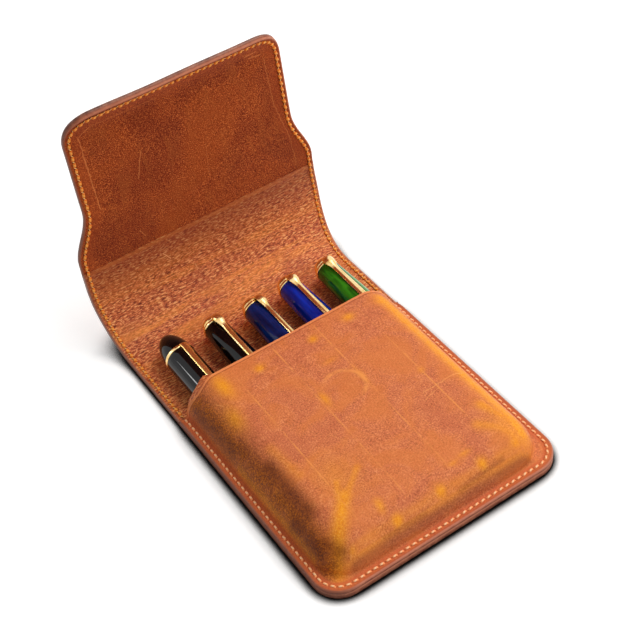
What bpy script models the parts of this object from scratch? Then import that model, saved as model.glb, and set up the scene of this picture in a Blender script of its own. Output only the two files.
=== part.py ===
"""Leather pen pouch: moulded front pocket for five pens, magnetic flap standing open.

Units are metres. X runs across the pouch, Y along the pens towards the flap, Z up.
The origin is on the flat underside. Each leather piece is drawn flat, as it is cut from the
hide, with x across and s along the piece from the pouch's bottom edge, and is then bent along
the fold line of the flap. Depth is measured from the inner face outwards.
"""
import math

import bmesh
import bpy
import numpy as np
from mathutils import Matrix, Vector

# Leather
GAP = 0.0003
BACK_THICKNESS = 0.00175
LINING_THICKNESS = 0.0014
FRONT_THICKNESS = 0.0015
DIVIDER_THICKNESS = 0.0006
BURNISH = 0.0005
SAME_PLACE = 0.000001
SLIVER = 0.0001

# Pens, from the left; the first is a stouter one
MIDDLE_PEN_X = 0.0008
PEN_PITCH = 0.0217
FIRST_PEN_PITCH = 0.0233
PEN_RADIUS = 0.00715
FIRST_PEN_RADIUS = 0.0075
PEN_LENGTH = 0.142
PEN_FOOT_S = 0.0198
PEN_SHOWS = 0.0385
PEN_PUSHED_OUT = (0.0050, 0.0005, -0.0010, 0.0010, 0.0)
CAP_LENGTH = 0.062
CROWN_RADIUS = 0.005
CROWN_LENGTH = 0.004
CROWN_DISC_RADIUS = 0.0038
CROWN_DISC_ROUND = 0.0005
CROWN_STEP_AT = 0.0007
CROWN_FULL_AT = 0.0012
CAP_TOP_RADIUS = 0.006
RING_PROUD = 0.0003
RING_LENGTH = 0.0012
TIP_LENGTH = 0.015
TIP_STEPS = 8
PEN_EDGE = 0.0003
PEN_EDGE_RUN = 0.0006
BARREL_SLIMMER = 0.0003
BARREL_END_RADIUS = 0.0045
BARREL_END_TAPER = 0.004
BARREL_END_ROUND = 0.0012
CLIP_LENGTH = 0.044
CLIP_THICKNESS = 0.0006
CLIP_ARCH = 0.0018
FIRST_CLIP_ARCH = 0.0008
CLIP_LIFT = 0.0003
CLIP_CLEARANCE = 0.00045
CLIP_ROOT_DEPTH = 0.001
CLIP_CREST_RUN = 0.006
CLIP_CREST_SLOPE = 0.0002
CLIP_BEND_RADIUS = 0.0007
CLIP_STATIONS = 12
CLIP_TAPER_SHARE = 0.3
CLIP_DEGREES = (21, 11, 24, 9, 2)
CLIP_TOP_HALF_WIDTHS = (0.0021, 0.0027, 0.0027, 0.0027, 0.0027)
CLIP_STEM_HALF_WIDTHS = (0.0016, 0.0016, 0.0016, 0.0016, 0.0016)
TURN_STEPS = 20

# Moulded pocket front
FOOT_INSET = 0.0052
FOOT_FILLET = 0.0018
SHOULDER_RUN = 0.0148
SHOULDER_ROOM = 0.003
FOOT_CORNER = 0.0155
BOTTOM_CORNER = 0.013
CORNER_STEPS = 8
BOTTOM_Y = -0.083

# Flap, measured from where the leather starts to bend
BEND_PAST_PENS = 0.0012
SLOPES = (
    (0.0, 0), (0.007, 7), (0.0265, 54), (0.0415, 76), (0.064, 90),
    (0.079, 88), (0.090, 80), (0.103, 84), (0.127, 85), (0.1425, 130),
)
LOWER_FOLD = 0.006
UPPER_FOLD = 0.025
FLARE = 0.0035
FLARE_FROM = 0.002
FLARE_TO = 0.05
SHOULDER_FROM = 0.066
SHOULDER_TO = 0.093
LEAN = 0.0005
LEAN_FROM = 0.062
LEAN_TO = 0.127
FACING_FROM = 0.0606
FLAP_LENGTH = 0.1425
FLAP_END_HALF_WIDTH = 0.0573
FLAP_CORNER = 0.015
NOSE_REACH = 0.00155
SLICE = 0.0035

# Pen divider
TENT_HALF_BASE = 0.0042
TENT_TOP_RADIUS = 0.001
DIVIDER_BEND = 0.001
DIVIDER_FROM_S = 0.022
DIVIDER_BEHIND_MOUTH = 0.0015
WING_PAST_MOUTH = 0.002
WING_END_DEGREES = 44
WING_STEPS = 6

# Magnets
MAGNET_X = 0.002
MAGNET_DIAMETER = 0.0165
MAGNET_THICKNESS = 0.0008
MAGNET_CLEARANCE = 0.0003
MAGNET_BEHIND_MOUTH = 0.0445
MAGNET_FROM_FLAP_END = 0.023

# Worked out from the sizes above
INNER_Z = BACK_THICKNESS + GAP + LINING_THICKNESS
STACK = INNER_Z
OUTER_DEPTH = LINING_THICKNESS + GAP
RIM_Z = INNER_Z + GAP + FRONT_THICKNESS
FOLD_END_GAP = STACK / 2 + GAP
DIVIDER_Z = INNER_Z + GAP + DIVIDER_THICKNESS / 2
PEN_FLOOR = DIVIDER_Z + DIVIDER_THICKNESS / 2 + GAP
POCKET_CEILING = PEN_FLOOR + 2 * FIRST_PEN_RADIUS + CLIP_LIFT + CLIP_THICKNESS + CLIP_CLEARANCE
POCKET_HEIGHT = POCKET_CEILING + FRONT_THICKNESS
WALL_TO_PEN = FRONT_THICKNESS + GAP + DIVIDER_THICKNESS + GAP + PEN_RADIUS
LAST_PEN_X = MIDDLE_PEN_X + 2 * PEN_PITCH
HALF_WIDTH = LAST_PEN_X + WALL_TO_PEN + SHOULDER_ROOM + FOOT_INSET
PEN_TIP_S = PEN_FOOT_S + PEN_LENGTH
MOUTH_S = PEN_TIP_S - PEN_SHOWS
BEND_S = PEN_TIP_S + BEND_PAST_PENS
LOWER_FOLD_S = BEND_S + LOWER_FOLD
UPPER_FOLD_S = BEND_S + UPPER_FOLD
FLAP_END_S = BEND_S + FLAP_LENGTH
FACING_S = BEND_S + FACING_FROM

COLOURS = {
    "rust": ((0.50, 0.17, 0.06), 0.55, 0.0),
    "tan": ((0.56, 0.20, 0.06), 0.62, 0.0),
    "suede": ((0.33, 0.08, 0.02), 0.85, 0.0),
    "steel": ((0.62, 0.62, 0.64), 0.35, 1.0),
    "gold": ((0.85, 0.62, 0.30), 0.2, 1.0),
    "black": ((0.01, 0.01, 0.012), 0.1, 0.0),
    "navy": ((0.01, 0.03, 0.14), 0.1, 0.0),
    "blue": ((0.01, 0.04, 0.42), 0.1, 0.0),
    "green": ((0.01, 0.16, 0.03), 0.12, 0.0),
}


def clear_scene():
    for old in list(bpy.data.objects):
        bpy.data.objects.remove(old, do_unlink=True)


def new_collection(name):
    made = bpy.data.collections.new(name)
    bpy.context.scene.collection.children.link(made)
    return made


def paint(obj, colour):
    rgb, roughness, metallic = COLOURS[colour]
    made = bpy.data.materials.new(f"{obj.name}_{colour}")
    made.use_nodes = True
    shader = made.node_tree.nodes["Principled BSDF"]
    shader.inputs["Base Color"].default_value = (*rgb, 1)
    shader.inputs["Roughness"].default_value = roughness
    shader.inputs["Metallic"].default_value = metallic
    obj.data.materials.append(made)


def add_part(name, mesh, colour, parent=None):
    obj = bpy.data.objects.new(name, mesh)
    PARTS.objects.link(obj)
    paint(obj, colour)
    mesh.shade_smooth()
    mesh.set_sharp_from_angle(angle=math.radians(35))
    if parent is not None:
        obj.parent = parent
        obj.matrix_parent_inverse = parent.matrix_world.inverted()
    return obj


def add_empty(name, place, parent=None):
    """An empty on a moving piece's joint; positions stay in the pouch's own frame."""
    empty = bpy.data.objects.new(name, None)
    PARTS.objects.link(empty)
    empty.location = place
    bpy.context.view_layer.update()
    if parent is not None:
        empty.parent = parent
        empty.matrix_parent_inverse = parent.matrix_world.inverted()
        bpy.context.view_layer.update()
    return empty


def hide_cutter(obj):
    CUTTERS.objects.link(obj)
    obj.hide_render = True
    obj.display_type = "WIRE"
    return obj


def boolean(target, operation, other):
    change = target.modifiers.new(operation.lower(), "BOOLEAN")
    change.operation = operation
    change.object = other


def blank(outline, thickness, burnish):
    """A flat piece cut from sheet: outline in x and y, its thickness below z = 0."""
    curve = bpy.data.curves.new("blank", "CURVE")
    curve.dimensions = "2D"
    curve.fill_mode = "BOTH"
    curve.extrude = thickness / 2
    spline = curve.splines.new("POLY")
    spline.points.add(len(outline) - 1)
    for point, (x, y) in zip(spline.points, outline):
        point.co = (x, y, 0, 1)
    spline.use_cyclic_u = True
    drawn = bpy.data.objects.new("blank", curve)
    bpy.context.scene.collection.objects.link(drawn)
    bpy.context.view_layer.update()
    seen = drawn.evaluated_get(bpy.context.evaluated_depsgraph_get())
    mesh = bpy.data.meshes.new_from_object(seen)
    bpy.data.objects.remove(drawn, do_unlink=True)
    work = bmesh.new()
    work.from_mesh(mesh)
    bpy.data.meshes.remove(mesh)
    bmesh.ops.remove_doubles(work, verts=work.verts, dist=SAME_PLACE)
    bmesh.ops.dissolve_limit(
        work, angle_limit=math.radians(1), verts=work.verts, edges=work.edges, delimit={"NORMAL"})
    bmesh.ops.recalc_face_normals(work, faces=work.faces)
    bmesh.ops.translate(work, verts=work.verts, vec=(0, 0, -thickness / 2))
    if burnish:
        rim = [e for e in work.edges if abs(e.verts[0].co.z - e.verts[1].co.z) < SAME_PLACE]
        bmesh.ops.bevel(work, geom=rim, offset=burnish, segments=2, profile=0.5,
                        affect="EDGES", clamp_overlap=True)
    return work


def slice_along(work, places):
    for place in places:
        geometry = work.verts[:] + work.edges[:] + work.faces[:]
        bmesh.ops.bisect_plane(
            work, geom=geometry, dist=SAME_PLACE, plane_co=(0, place, 0), plane_no=(0, 1, 0))


def finish_mesh(work, name):
    bmesh.ops.remove_doubles(work, verts=work.verts, dist=2e-6)
    bmesh.ops.recalc_face_normals(work, faces=work.faces)
    mesh = bpy.data.meshes.new(name)
    work.to_mesh(mesh)
    work.free()
    return mesh


def fold_path():
    """Inner face of the leather in side view, every quarter millimetre along it."""
    step = 0.00025
    along = np.arange(0, FLAP_END_S + step, step)
    slope = np.radians(np.interp(along - BEND_S, *zip(*SLOPES)))
    middle = (slope[1:] + slope[:-1]) / 2
    y = BOTTOM_Y + np.concatenate([[0], np.cumsum(np.cos(middle) * step)])
    z = INNER_Z + np.concatenate([[0], np.cumsum(np.sin(middle) * step)])
    return along, slope, y, z


def bent(x, s, depth):
    """A place on the flat pattern, bent to the fold line; the flap leans a little to the right."""
    along, slope, y, z = PATH
    angle = np.interp(s, along, slope)
    return Vector((
        x + LEAN * ease((s - BEND_S - LEAN_FROM) / (LEAN_TO - LEAN_FROM)),
        np.interp(s, along, y) + depth * math.sin(angle),
        np.interp(s, along, z) - depth * math.cos(angle),
    ))


def bent_matrix(x, s, depth):
    """Frame on the bent leather: local z points out of its inner face."""
    angle = np.interp(s, PATH[0], PATH[1])
    return Matrix.Translation(bent(x, s, depth)) @ Matrix.Rotation(angle, 4, "X")


def ease(t):
    t = min(max(t, 0.0), 1.0)
    return t * t * (3 - 2 * t)


def round_off(distance, radius):
    """How far a round corner draws the side in, at a distance from the end."""
    if distance >= radius:
        return 0.0
    return radius - math.sqrt(max(radius ** 2 - (radius - distance) ** 2, 0.0))


def half_width(s):
    past = s - BEND_S
    width = HALF_WIDTH + FLARE * ease((past - FLARE_FROM) / (FLARE_TO - FLARE_FROM))
    shoulder = ease((past - SHOULDER_FROM) / (SHOULDER_TO - SHOULDER_FROM))
    width += (FLAP_END_HALF_WIDTH - width) * shoulder
    return width - round_off(s, BOTTOM_CORNER) - round_off(FLAP_END_S - s, FLAP_CORNER)


def side_places(start, end):
    """Places along a side that its outline needs: round corners closely, the rest as sliced."""
    places = {start, end}
    for k in range(CORNER_STEPS + 1):
        turn = 1 - math.cos(math.radians(90) * k / CORNER_STEPS)
        places.add(BOTTOM_CORNER * turn)
        places.add(FLAP_END_S - FLAP_CORNER * turn)
    places.update(np.arange(BEND_S + FLARE_FROM, FLAP_END_S - FLAP_CORNER, SLICE))
    return sorted(p for p in places if start <= p <= end)


def half_round(s, depth, axis_s):
    """Depth drawn in past a fold's axis, so that the stack ends half round about it."""
    past = s - axis_s
    if past <= 0:
        return depth
    reach = math.sqrt(max((STACK / 2) ** 2 - past ** 2, 0.0))
    return min(max(depth, STACK / 2 - reach), STACK / 2 + reach)


def sheet(start, end, depth, thickness, nose_axis=None):
    """A leather piece from start to end along the pouch, bent to the fold line.

    nose_axis is the fold that the piece's far end turns about: that end is round.
    """
    right = [(half_width(s), s) for s in side_places(start, end)]
    left = [(-x, s) for x, s in reversed(right)]
    work = blank(right + left, thickness, 0)
    cut_ends = [s for s in (start, end) if 0 < s < FLAP_END_S]
    rim = []
    for edge in work.edges:
        a, b = (v.co for v in edge.verts)
        flat = abs(a.z - b.z) < SAME_PLACE
        at_fold = any(abs(a.y - s) < SAME_PLACE and abs(b.y - s) < SAME_PLACE for s in cut_ends)
        if flat and not at_fold:
            rim.append(edge)
    bmesh.ops.bevel(work, geom=rim, offset=BURNISH, segments=2, profile=0.5,
                    affect="EDGES", clamp_overlap=True)
    places = list(np.arange(BEND_S, FLAP_END_S, SLICE))
    if nose_axis is not None:
        places += [nose_axis + NOSE_REACH * share for share in (0, 0.3, 0.55, 0.75, 0.9)]
    slice_along(work, [s for s in sorted(places) if start + SLIVER < s < end - SLIVER])
    for vertex in work.verts:
        x, s, z = vertex.co
        down = depth - z
        if nose_axis is not None:
            down = half_round(s, down, nose_axis)
        vertex.co = bent(x, s, down)
    return work


def build_back_panels():
    """Outer leather and lining of the part that lies flat, ending round inside the lower fold."""
    end = LOWER_FOLD_S + NOSE_REACH
    outer = sheet(0, end, OUTER_DEPTH, BACK_THICKNESS, LOWER_FOLD_S)
    add_part("back_outer", finish_mesh(outer, "back_outer"), "rust")
    lining = sheet(0, end, 0, LINING_THICKNESS, LOWER_FOLD_S)
    add_part("back_lining", finish_mesh(lining, "back_lining"), "tan")


def build_fold_strip(parent):
    start = LOWER_FOLD_S + FOLD_END_GAP
    end = UPPER_FOLD_S + NOSE_REACH
    outer = sheet(start, end, OUTER_DEPTH, BACK_THICKNESS, UPPER_FOLD_S)
    add_part("fold_outer", finish_mesh(outer, "fold_outer"), "rust", parent)
    lining = sheet(start, end, 0, LINING_THICKNESS, UPPER_FOLD_S)
    add_part("fold_lining", finish_mesh(lining, "fold_lining"), "tan", parent)


def build_magnet(name, place, parent=None):
    """A disc magnet and the cutter of its recess, both at one place."""
    radius = MAGNET_DIAMETER / 2
    room = MAGNET_CLEARANCE
    bpy.ops.mesh.primitive_cylinder_add(
        vertices=32, radius=radius + room, depth=MAGNET_THICKNESS + 2 * room)
    recess = bpy.context.object
    recess.name = f"{name}_recess"
    for home in list(recess.users_collection):
        home.objects.unlink(recess)
    hide_cutter(recess)
    recess.matrix_world = place
    bpy.ops.mesh.primitive_cylinder_add(vertices=32, radius=radius, depth=MAGNET_THICKNESS)
    disc = bpy.context.object
    mesh = disc.data
    bpy.data.objects.remove(disc, do_unlink=True)
    mesh.transform(place)
    add_part(name, mesh, "steel", parent)
    return recess


def build_flap(parent):
    start = UPPER_FOLD_S + FOLD_END_GAP
    outer = sheet(start, FLAP_END_S, OUTER_DEPTH, BACK_THICKNESS)
    lining = sheet(start, FACING_S - GAP, 0, LINING_THICKNESS)
    facing = sheet(FACING_S, FLAP_END_S, 0, LINING_THICKNESS)
    outer = add_part("flap_outer", finish_mesh(outer, "flap_outer"), "rust", parent)
    add_part("flap_lining", finish_mesh(lining, "flap_lining"), "tan", parent)
    facing = add_part("flap_facing", finish_mesh(facing, "flap_facing"), "suede", parent)
    magnet_s = FLAP_END_S - MAGNET_FROM_FLAP_END
    place = bent_matrix(MAGNET_X - LEAN, magnet_s, LINING_THICKNESS + GAP / 2)
    recess = build_magnet("flap_magnet", place, parent)
    boolean(outer, "DIFFERENCE", recess)
    boolean(facing, "DIFFERENCE", recess)


def pocket_ring(inset, radius, z):
    """One line round the pocket front, from the left of its mouth to the right of it."""
    side = HALF_WIDTH - inset
    corner_s = inset + radius
    points = [(-side, s) for s in np.linspace(MOUTH_S, corner_s, 5)[:-1]]
    for k in range(CORNER_STEPS + 1):
        turn = math.radians(90) * k / CORNER_STEPS
        points.append((-side + radius * (1 - math.cos(turn)), corner_s - radius * math.sin(turn)))
    points += [(-x, s) for x, s in reversed(points)]
    return [Vector((x, BOTTOM_Y + s, z)) for x, s in points]


def pocket_section():
    """Inset, corner radius and height of the lines that the moulded front passes through."""
    rows = [(0, BOTTOM_CORNER, RIM_Z), (FOOT_INSET - FOOT_FILLET, FOOT_CORNER - FOOT_FILLET, RIM_Z)]
    for k in range(1, 4):
        turn = math.radians(90) * k / 4
        inset = FOOT_INSET - FOOT_FILLET + FOOT_FILLET * math.sin(turn)
        rows.append((inset, FOOT_CORNER - FOOT_FILLET + FOOT_FILLET * math.sin(turn),
                     RIM_Z + FOOT_FILLET * (1 - math.cos(turn))))
    foot_z = RIM_Z + FOOT_FILLET
    for k in range(10):
        turn = math.radians(90) * k / 9
        draw = 1 - math.cos(turn)
        rows.append((FOOT_INSET + SHOULDER_RUN * draw, FOOT_CORNER * (1 - draw),
                     foot_z + (POCKET_HEIGHT - foot_z) * math.sin(turn)))
    return rows


def build_pocket_front():
    """Front leather moulded up over the pens; its mouth is open towards the flap."""
    work = bmesh.new()
    rings = []
    for inset, radius, z in pocket_section():
        rings.append([work.verts.new(p) for p in pocket_ring(inset, radius, z)])
    for low, high in zip(rings, rings[1:]):
        for k in range(len(low) - 1):
            work.faces.new((low[k], low[k + 1], high[k + 1], high[k]))
    work.faces.new(rings[-1])
    bmesh.ops.remove_doubles(work, verts=work.verts, dist=SAME_PLACE)
    bmesh.ops.dissolve_degenerate(work, edges=work.edges, dist=SAME_PLACE)
    bmesh.ops.recalc_face_normals(work, faces=work.faces)
    top = max(work.faces, key=lambda f: f.calc_center_median().z)
    if top.normal.z < 0:
        bmesh.ops.reverse_faces(work, faces=work.faces)
    mesh = bpy.data.meshes.new("pocket_front")
    work.to_mesh(mesh)
    work.free()
    front = add_part("pocket_front", mesh, "rust")
    wall = front.modifiers.new("leather", "SOLIDIFY")
    wall.thickness = FRONT_THICKNESS
    wall.offset = -1
    wall.use_even_offset = True
    edge = front.modifiers.new("burnished edge", "BEVEL")
    edge.width = BURNISH
    edge.segments = 2
    edge.limit_method = "ANGLE"
    edge.angle_limit = math.radians(60)
    height = POCKET_CEILING + MAGNET_THICKNESS / 2
    place = Matrix.Translation((MAGNET_X, BOTTOM_Y + MOUTH_S - MAGNET_BEHIND_MOUTH, height))
    boolean(front, "DIFFERENCE", build_magnet("pocket_magnet", place))


def pen_row():
    """Place across the pouch and radius of each pen, from the left."""
    places = [MIDDLE_PEN_X + k * PEN_PITCH for k in (-1, 0, 1, 2)]
    first = (places[0] - FIRST_PEN_PITCH, FIRST_PEN_RADIUS)
    return [first] + [(x, PEN_RADIUS) for x in places]


def round_corners(points, radius, steps=3):
    """A line with each inner corner replaced by a short arc."""
    made = [points[0]]
    for before, here, after in zip(points, points[1:], points[2:]):
        back = (before - here).normalized()
        on = (after - here).normalized()
        half = back.angle(on) / 2
        reach = radius / math.tan(half)
        centre = here + (back + on).normalized() * (radius / math.sin(half))
        first = here + back * reach - centre
        last = here + on * reach - centre
        sweep = first.angle(last)
        for k in range(steps + 1):
            share = k / steps
            blend = (math.sin((1 - share) * sweep) * first + math.sin(share * sweep) * last) / math.sin(sweep)
            made.append(centre + blend)
    made.append(points[-1])
    return made


def divider_wing(side):
    """End view of a wing, inside the front's shoulder, from its free edge down to its wall."""
    shrink = FRONT_THICKNESS + GAP + DIVIDER_THICKNESS / 2
    centre = Vector((HALF_WIDTH - FOOT_INSET - SHOULDER_RUN, RIM_Z + FOOT_FILLET))
    across = SHOULDER_RUN - shrink
    up = POCKET_HEIGHT - centre.y - shrink
    line = []
    for k in range(WING_STEPS + 1):
        turn = math.radians(WING_END_DEGREES) * (1 - k / WING_STEPS)
        out = centre.x + across * math.cos(turn)
        line.append(Vector((side * out, centre.y + up * math.sin(turn))))
    return line


def divider_section():
    """End view of the divider from left to right: wing, pen floors with tents between, wing."""
    left = divider_wing(-1)
    right = divider_wing(1)
    peak = POCKET_CEILING - GAP - DIVIDER_THICKNESS / 2
    corners = [left[-1], Vector((left[-1].x, DIVIDER_Z))]
    row = pen_row()
    for (x, radius), (beside, radius_beside) in zip(row, row[1:]):
        middle = (x + radius + beside - radius_beside) / 2
        corners += [
            Vector((middle - TENT_HALF_BASE, DIVIDER_Z)),
            Vector((middle - TENT_TOP_RADIUS, peak)),
            Vector((middle + TENT_TOP_RADIUS, peak)),
            Vector((middle + TENT_HALF_BASE, DIVIDER_Z)),
        ]
    corners += [Vector((right[-1].x, DIVIDER_Z)), right[-1]]
    return left[:-1] + round_corners(corners, DIVIDER_BEND) + right[-2::-1]


def build_divider():
    """Pleated strip that keeps the pens apart; its side wings show just past the mouth."""
    work = bmesh.new()
    low, high = [], []
    tip_s = MOUTH_S - DIVIDER_BEHIND_MOUTH
    wing_x = HALF_WIDTH - FOOT_INSET - FRONT_THICKNESS - GAP - DIVIDER_THICKNESS
    for point in divider_section():
        share = ease((abs(point.x) - wing_x + SHOULDER_RUN / 2) / (SHOULDER_RUN / 8))
        end_s = tip_s + (WING_PAST_MOUTH + DIVIDER_BEHIND_MOUTH) * share
        low.append(work.verts.new((point.x, BOTTOM_Y + DIVIDER_FROM_S, point.y)))
        high.append(work.verts.new((point.x, BOTTOM_Y + end_s, point.y)))
    for k in range(len(low) - 1):
        work.faces.new((low[k], low[k + 1], high[k + 1], high[k]))
    mesh = bpy.data.meshes.new("pen_divider")
    work.to_mesh(mesh)
    work.free()
    divider = add_part("pen_divider", mesh, "tan")
    wall = divider.modifiers.new("leather", "SOLIDIFY")
    wall.thickness = DIVIDER_THICKNESS
    wall.offset = 0
    wall.use_even_offset = True


def turned(name, profile, colour, place, parent):
    """A piece turned about the pen's axis; profile is distance from the tip, then radius."""
    mesh = bpy.data.meshes.new(name)
    points = [(radius, 0, -down) for down, radius in profile]
    mesh.from_pydata(points, [(k, k + 1) for k in range(len(points) - 1)], [])
    obj = add_part(name, mesh, colour)
    obj.matrix_world = place
    turn = obj.modifiers.new("turned", "SCREW")
    turn.steps = TURN_STEPS
    turn.render_steps = TURN_STEPS
    turn.use_merge_vertices = True
    turn.merge_threshold = 0.00001
    turn.use_smooth_shade = True
    bpy.context.view_layer.update()
    obj.parent = parent
    obj.matrix_parent_inverse = parent.matrix_world.inverted()
    return obj


def clip_route(ring_middle, ring_radius, pen_radius, arch):
    """Side view of the clip: distance from the tip and from the pen's axis."""
    rest = pen_radius + CLIP_LIFT + CLIP_THICKNESS / 2
    crest = ring_radius + arch
    corners = [
        Vector((ring_middle, ring_radius - CLIP_ROOT_DEPTH)),
        Vector((ring_middle, crest - CLIP_CREST_SLOPE)),
        Vector((ring_middle + CLIP_CREST_RUN, crest + CLIP_CREST_SLOPE)),
        Vector((ring_middle + CLIP_LENGTH / 2, rest)),
        Vector((ring_middle + CLIP_LENGTH, rest)),
    ]
    return round_corners(corners, CLIP_BEND_RADIUS)


def build_clip(name, route, ring_radius, half_widths, place, parent):
    """A clip stamped flat and bent over the cap, in one with the ring that the cap holds."""
    ring_middle = route[0].x
    lengths = [0.0]
    for a, b in zip(route, route[1:]):
        lengths.append(lengths[-1] + (b - a).length)
    total = lengths[-1]
    top, stem = half_widths
    sides = []
    for k in range(CLIP_STATIONS):
        share = k / (CLIP_STATIONS - 1)
        width = stem + (top - stem) * (1 - ease(share / CLIP_TAPER_SHARE))
        sides.append((width, total * share))
    end_s = total + stem * 0.8
    end_x = stem * 0.55
    outline = sides + [(end_x, end_s), (-end_x, end_s)] + [(-x, s) for x, s in reversed(sides)]
    work = blank(outline, CLIP_THICKNESS, CLIP_THICKNESS * 0.25)
    slice_along(work, [s for s in lengths[1:] if s < end_s - SLIVER])
    for vertex in work.verts:
        x, s, z = vertex.co
        down = np.interp(s, lengths, [p.x for p in route]) + max(0.0, s - total)
        out = np.interp(s, lengths, [p.y for p in route])
        k = min(max(int(np.searchsorted(lengths, s, side="right")) - 1, 0), len(route) - 2)
        last = max(k - 1, 0) if abs(s - lengths[k]) < SAME_PLACE else k
        along = (route[k + 1] - route[k]).normalized() + (route[last + 1] - route[last]).normalized()
        along.normalize()
        depth = z + CLIP_THICKNESS / 2
        vertex.co = (x, -(out + depth * along.x), -(down - depth * along.y))
    blade = bpy.data.objects.new(f"{name}_blade", finish_mesh(work, f"{name}_blade"))
    hide_cutter(blade)
    blade.matrix_world = place
    start = ring_middle - RING_LENGTH / 2
    end = ring_middle + RING_LENGTH / 2
    profile = (
        (start, 0), (start, ring_radius - PEN_EDGE), (start + PEN_EDGE, ring_radius),
        (end - PEN_EDGE, ring_radius), (end, ring_radius - PEN_EDGE), (end, 0),
    )
    ring = turned(name, profile, "gold", place, parent)
    boolean(ring, "UNION", blade)


def crown_profile():
    """A small disc on a wider one, both with soft edges."""
    return (
        (0, 0),
        (CROWN_DISC_ROUND / 5, CROWN_DISC_RADIUS * 0.9),
        (CROWN_DISC_ROUND, CROWN_DISC_RADIUS),
        (CROWN_STEP_AT, CROWN_RADIUS * 0.9),
        (CROWN_FULL_AT, CROWN_RADIUS),
        (CROWN_LENGTH - PEN_EDGE, CROWN_RADIUS),
        (CROWN_LENGTH, CROWN_RADIUS - PEN_EDGE),
        (CROWN_LENGTH, 0),
    )


def tip_profile(length, radius):
    """A torpedo end: an ogive from the point to the full radius."""
    profile = [(0, 0)]
    for k in range(1, TIP_STEPS):
        turn = math.radians(90) * k / TIP_STEPS
        profile.append((length * (1 - math.cos(turn)) ** 0.92, radius * math.sin(turn)))
    return profile + [(length, radius), (length, 0)]


def cap_profile(start, top_radius, full_radius):
    """Cap from its ring to its lip, swelling a little to the pen's full radius."""
    end = CAP_LENGTH
    profile = [(start, 0), (start, top_radius - PEN_EDGE), (start + PEN_EDGE, top_radius)]
    for share in (0.2, 0.45, 0.75):
        radius = top_radius + (full_radius - top_radius) * math.sin(math.radians(90) * share)
        profile.append((start + (end - start) * share, radius))
    return profile + [(end - PEN_EDGE_RUN, full_radius), (end, full_radius - PEN_EDGE), (end, 0)]


def barrel_profile(radius):
    """Barrel from the cap's lip to its tapered, rounded foot."""
    start = CAP_LENGTH + GAP
    end = PEN_LENGTH
    run = end - start
    return (
        (start, 0),
        (start, radius - PEN_EDGE),
        (start + PEN_EDGE_RUN, radius),
        (start + run * 0.5, radius * 0.97),
        (start + run * 0.8, radius * 0.85),
        (end - BARREL_END_TAPER, BARREL_END_RADIUS),
        (end - BARREL_END_ROUND, BARREL_END_RADIUS * 0.75),
        (end, BARREL_END_RADIUS * 0.3),
        (end, 0),
    )


def build_pen(number, colour):
    """A capped pen lying in its channel; it slides out along the pouch."""
    x, radius = pen_row()[number - 1]
    tip = Vector((x, BOTTOM_Y + PEN_TIP_S + PEN_PUSHED_OUT[number - 1], PEN_FLOOR + radius))
    slide = add_empty(f"pen_{number}", tip)
    place = Matrix.Translation(tip) @ Matrix.Rotation(math.radians(-90), 4, "X")
    clip_place = place @ Matrix.Rotation(math.radians(CLIP_DEGREES[number - 1]), 4, "Z")
    if number == 1:
        turned("pen_1_tip", tip_profile(TIP_LENGTH, radius), colour, place, slide)
        ring_start = TIP_LENGTH + GAP
        top_radius = radius
        arch = FIRST_CLIP_ARCH
    else:
        turned(f"pen_{number}_crown", crown_profile(), "gold", place, slide)
        ring_start = CROWN_LENGTH + GAP
        top_radius = CAP_TOP_RADIUS
        arch = CLIP_ARCH
    ring_radius = top_radius + RING_PROUD
    route = clip_route(ring_start + RING_LENGTH / 2, ring_radius, radius, arch)
    half_widths = (CLIP_TOP_HALF_WIDTHS[number - 1], CLIP_STEM_HALF_WIDTHS[number - 1])
    build_clip(f"pen_{number}_clip", route, ring_radius, half_widths, clip_place, slide)
    cap_start = ring_start + RING_LENGTH + GAP
    turned(f"pen_{number}_cap", cap_profile(cap_start, top_radius, radius), colour, place, slide)
    turned(f"pen_{number}_barrel", barrel_profile(radius - BARREL_SLIMMER), colour, place, slide)


clear_scene()
PARTS = new_collection("leather_pen_pouch")
CUTTERS = new_collection("cutters")
PATH = fold_path()
lower_fold = add_empty("lower_fold", bent(0, LOWER_FOLD_S, STACK / 2))
upper_fold = add_empty("upper_fold", bent(0, UPPER_FOLD_S, STACK / 2), lower_fold)
build_back_panels()
build_pocket_front()
build_divider()
build_fold_strip(lower_fold)
build_flap(upper_fold)
for pen, pen_colour in enumerate(("black", "black", "navy", "blue", "green"), start=1):
    build_pen(pen, pen_colour)
bpy.context.view_layer.update()
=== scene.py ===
"""Looks of the leather pen pouch: leathers, thread, pens, floor, light and camera.

Lengths are metres. A leather piece is drawn flat, with x across and s along it from the pouch's
bottom edge, and is then bent along the fold line. Depth is measured from its inner face outwards.
"""
import math

import bmesh
import bpy
import numpy as np
from mathutils import Matrix, Vector, noise


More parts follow.
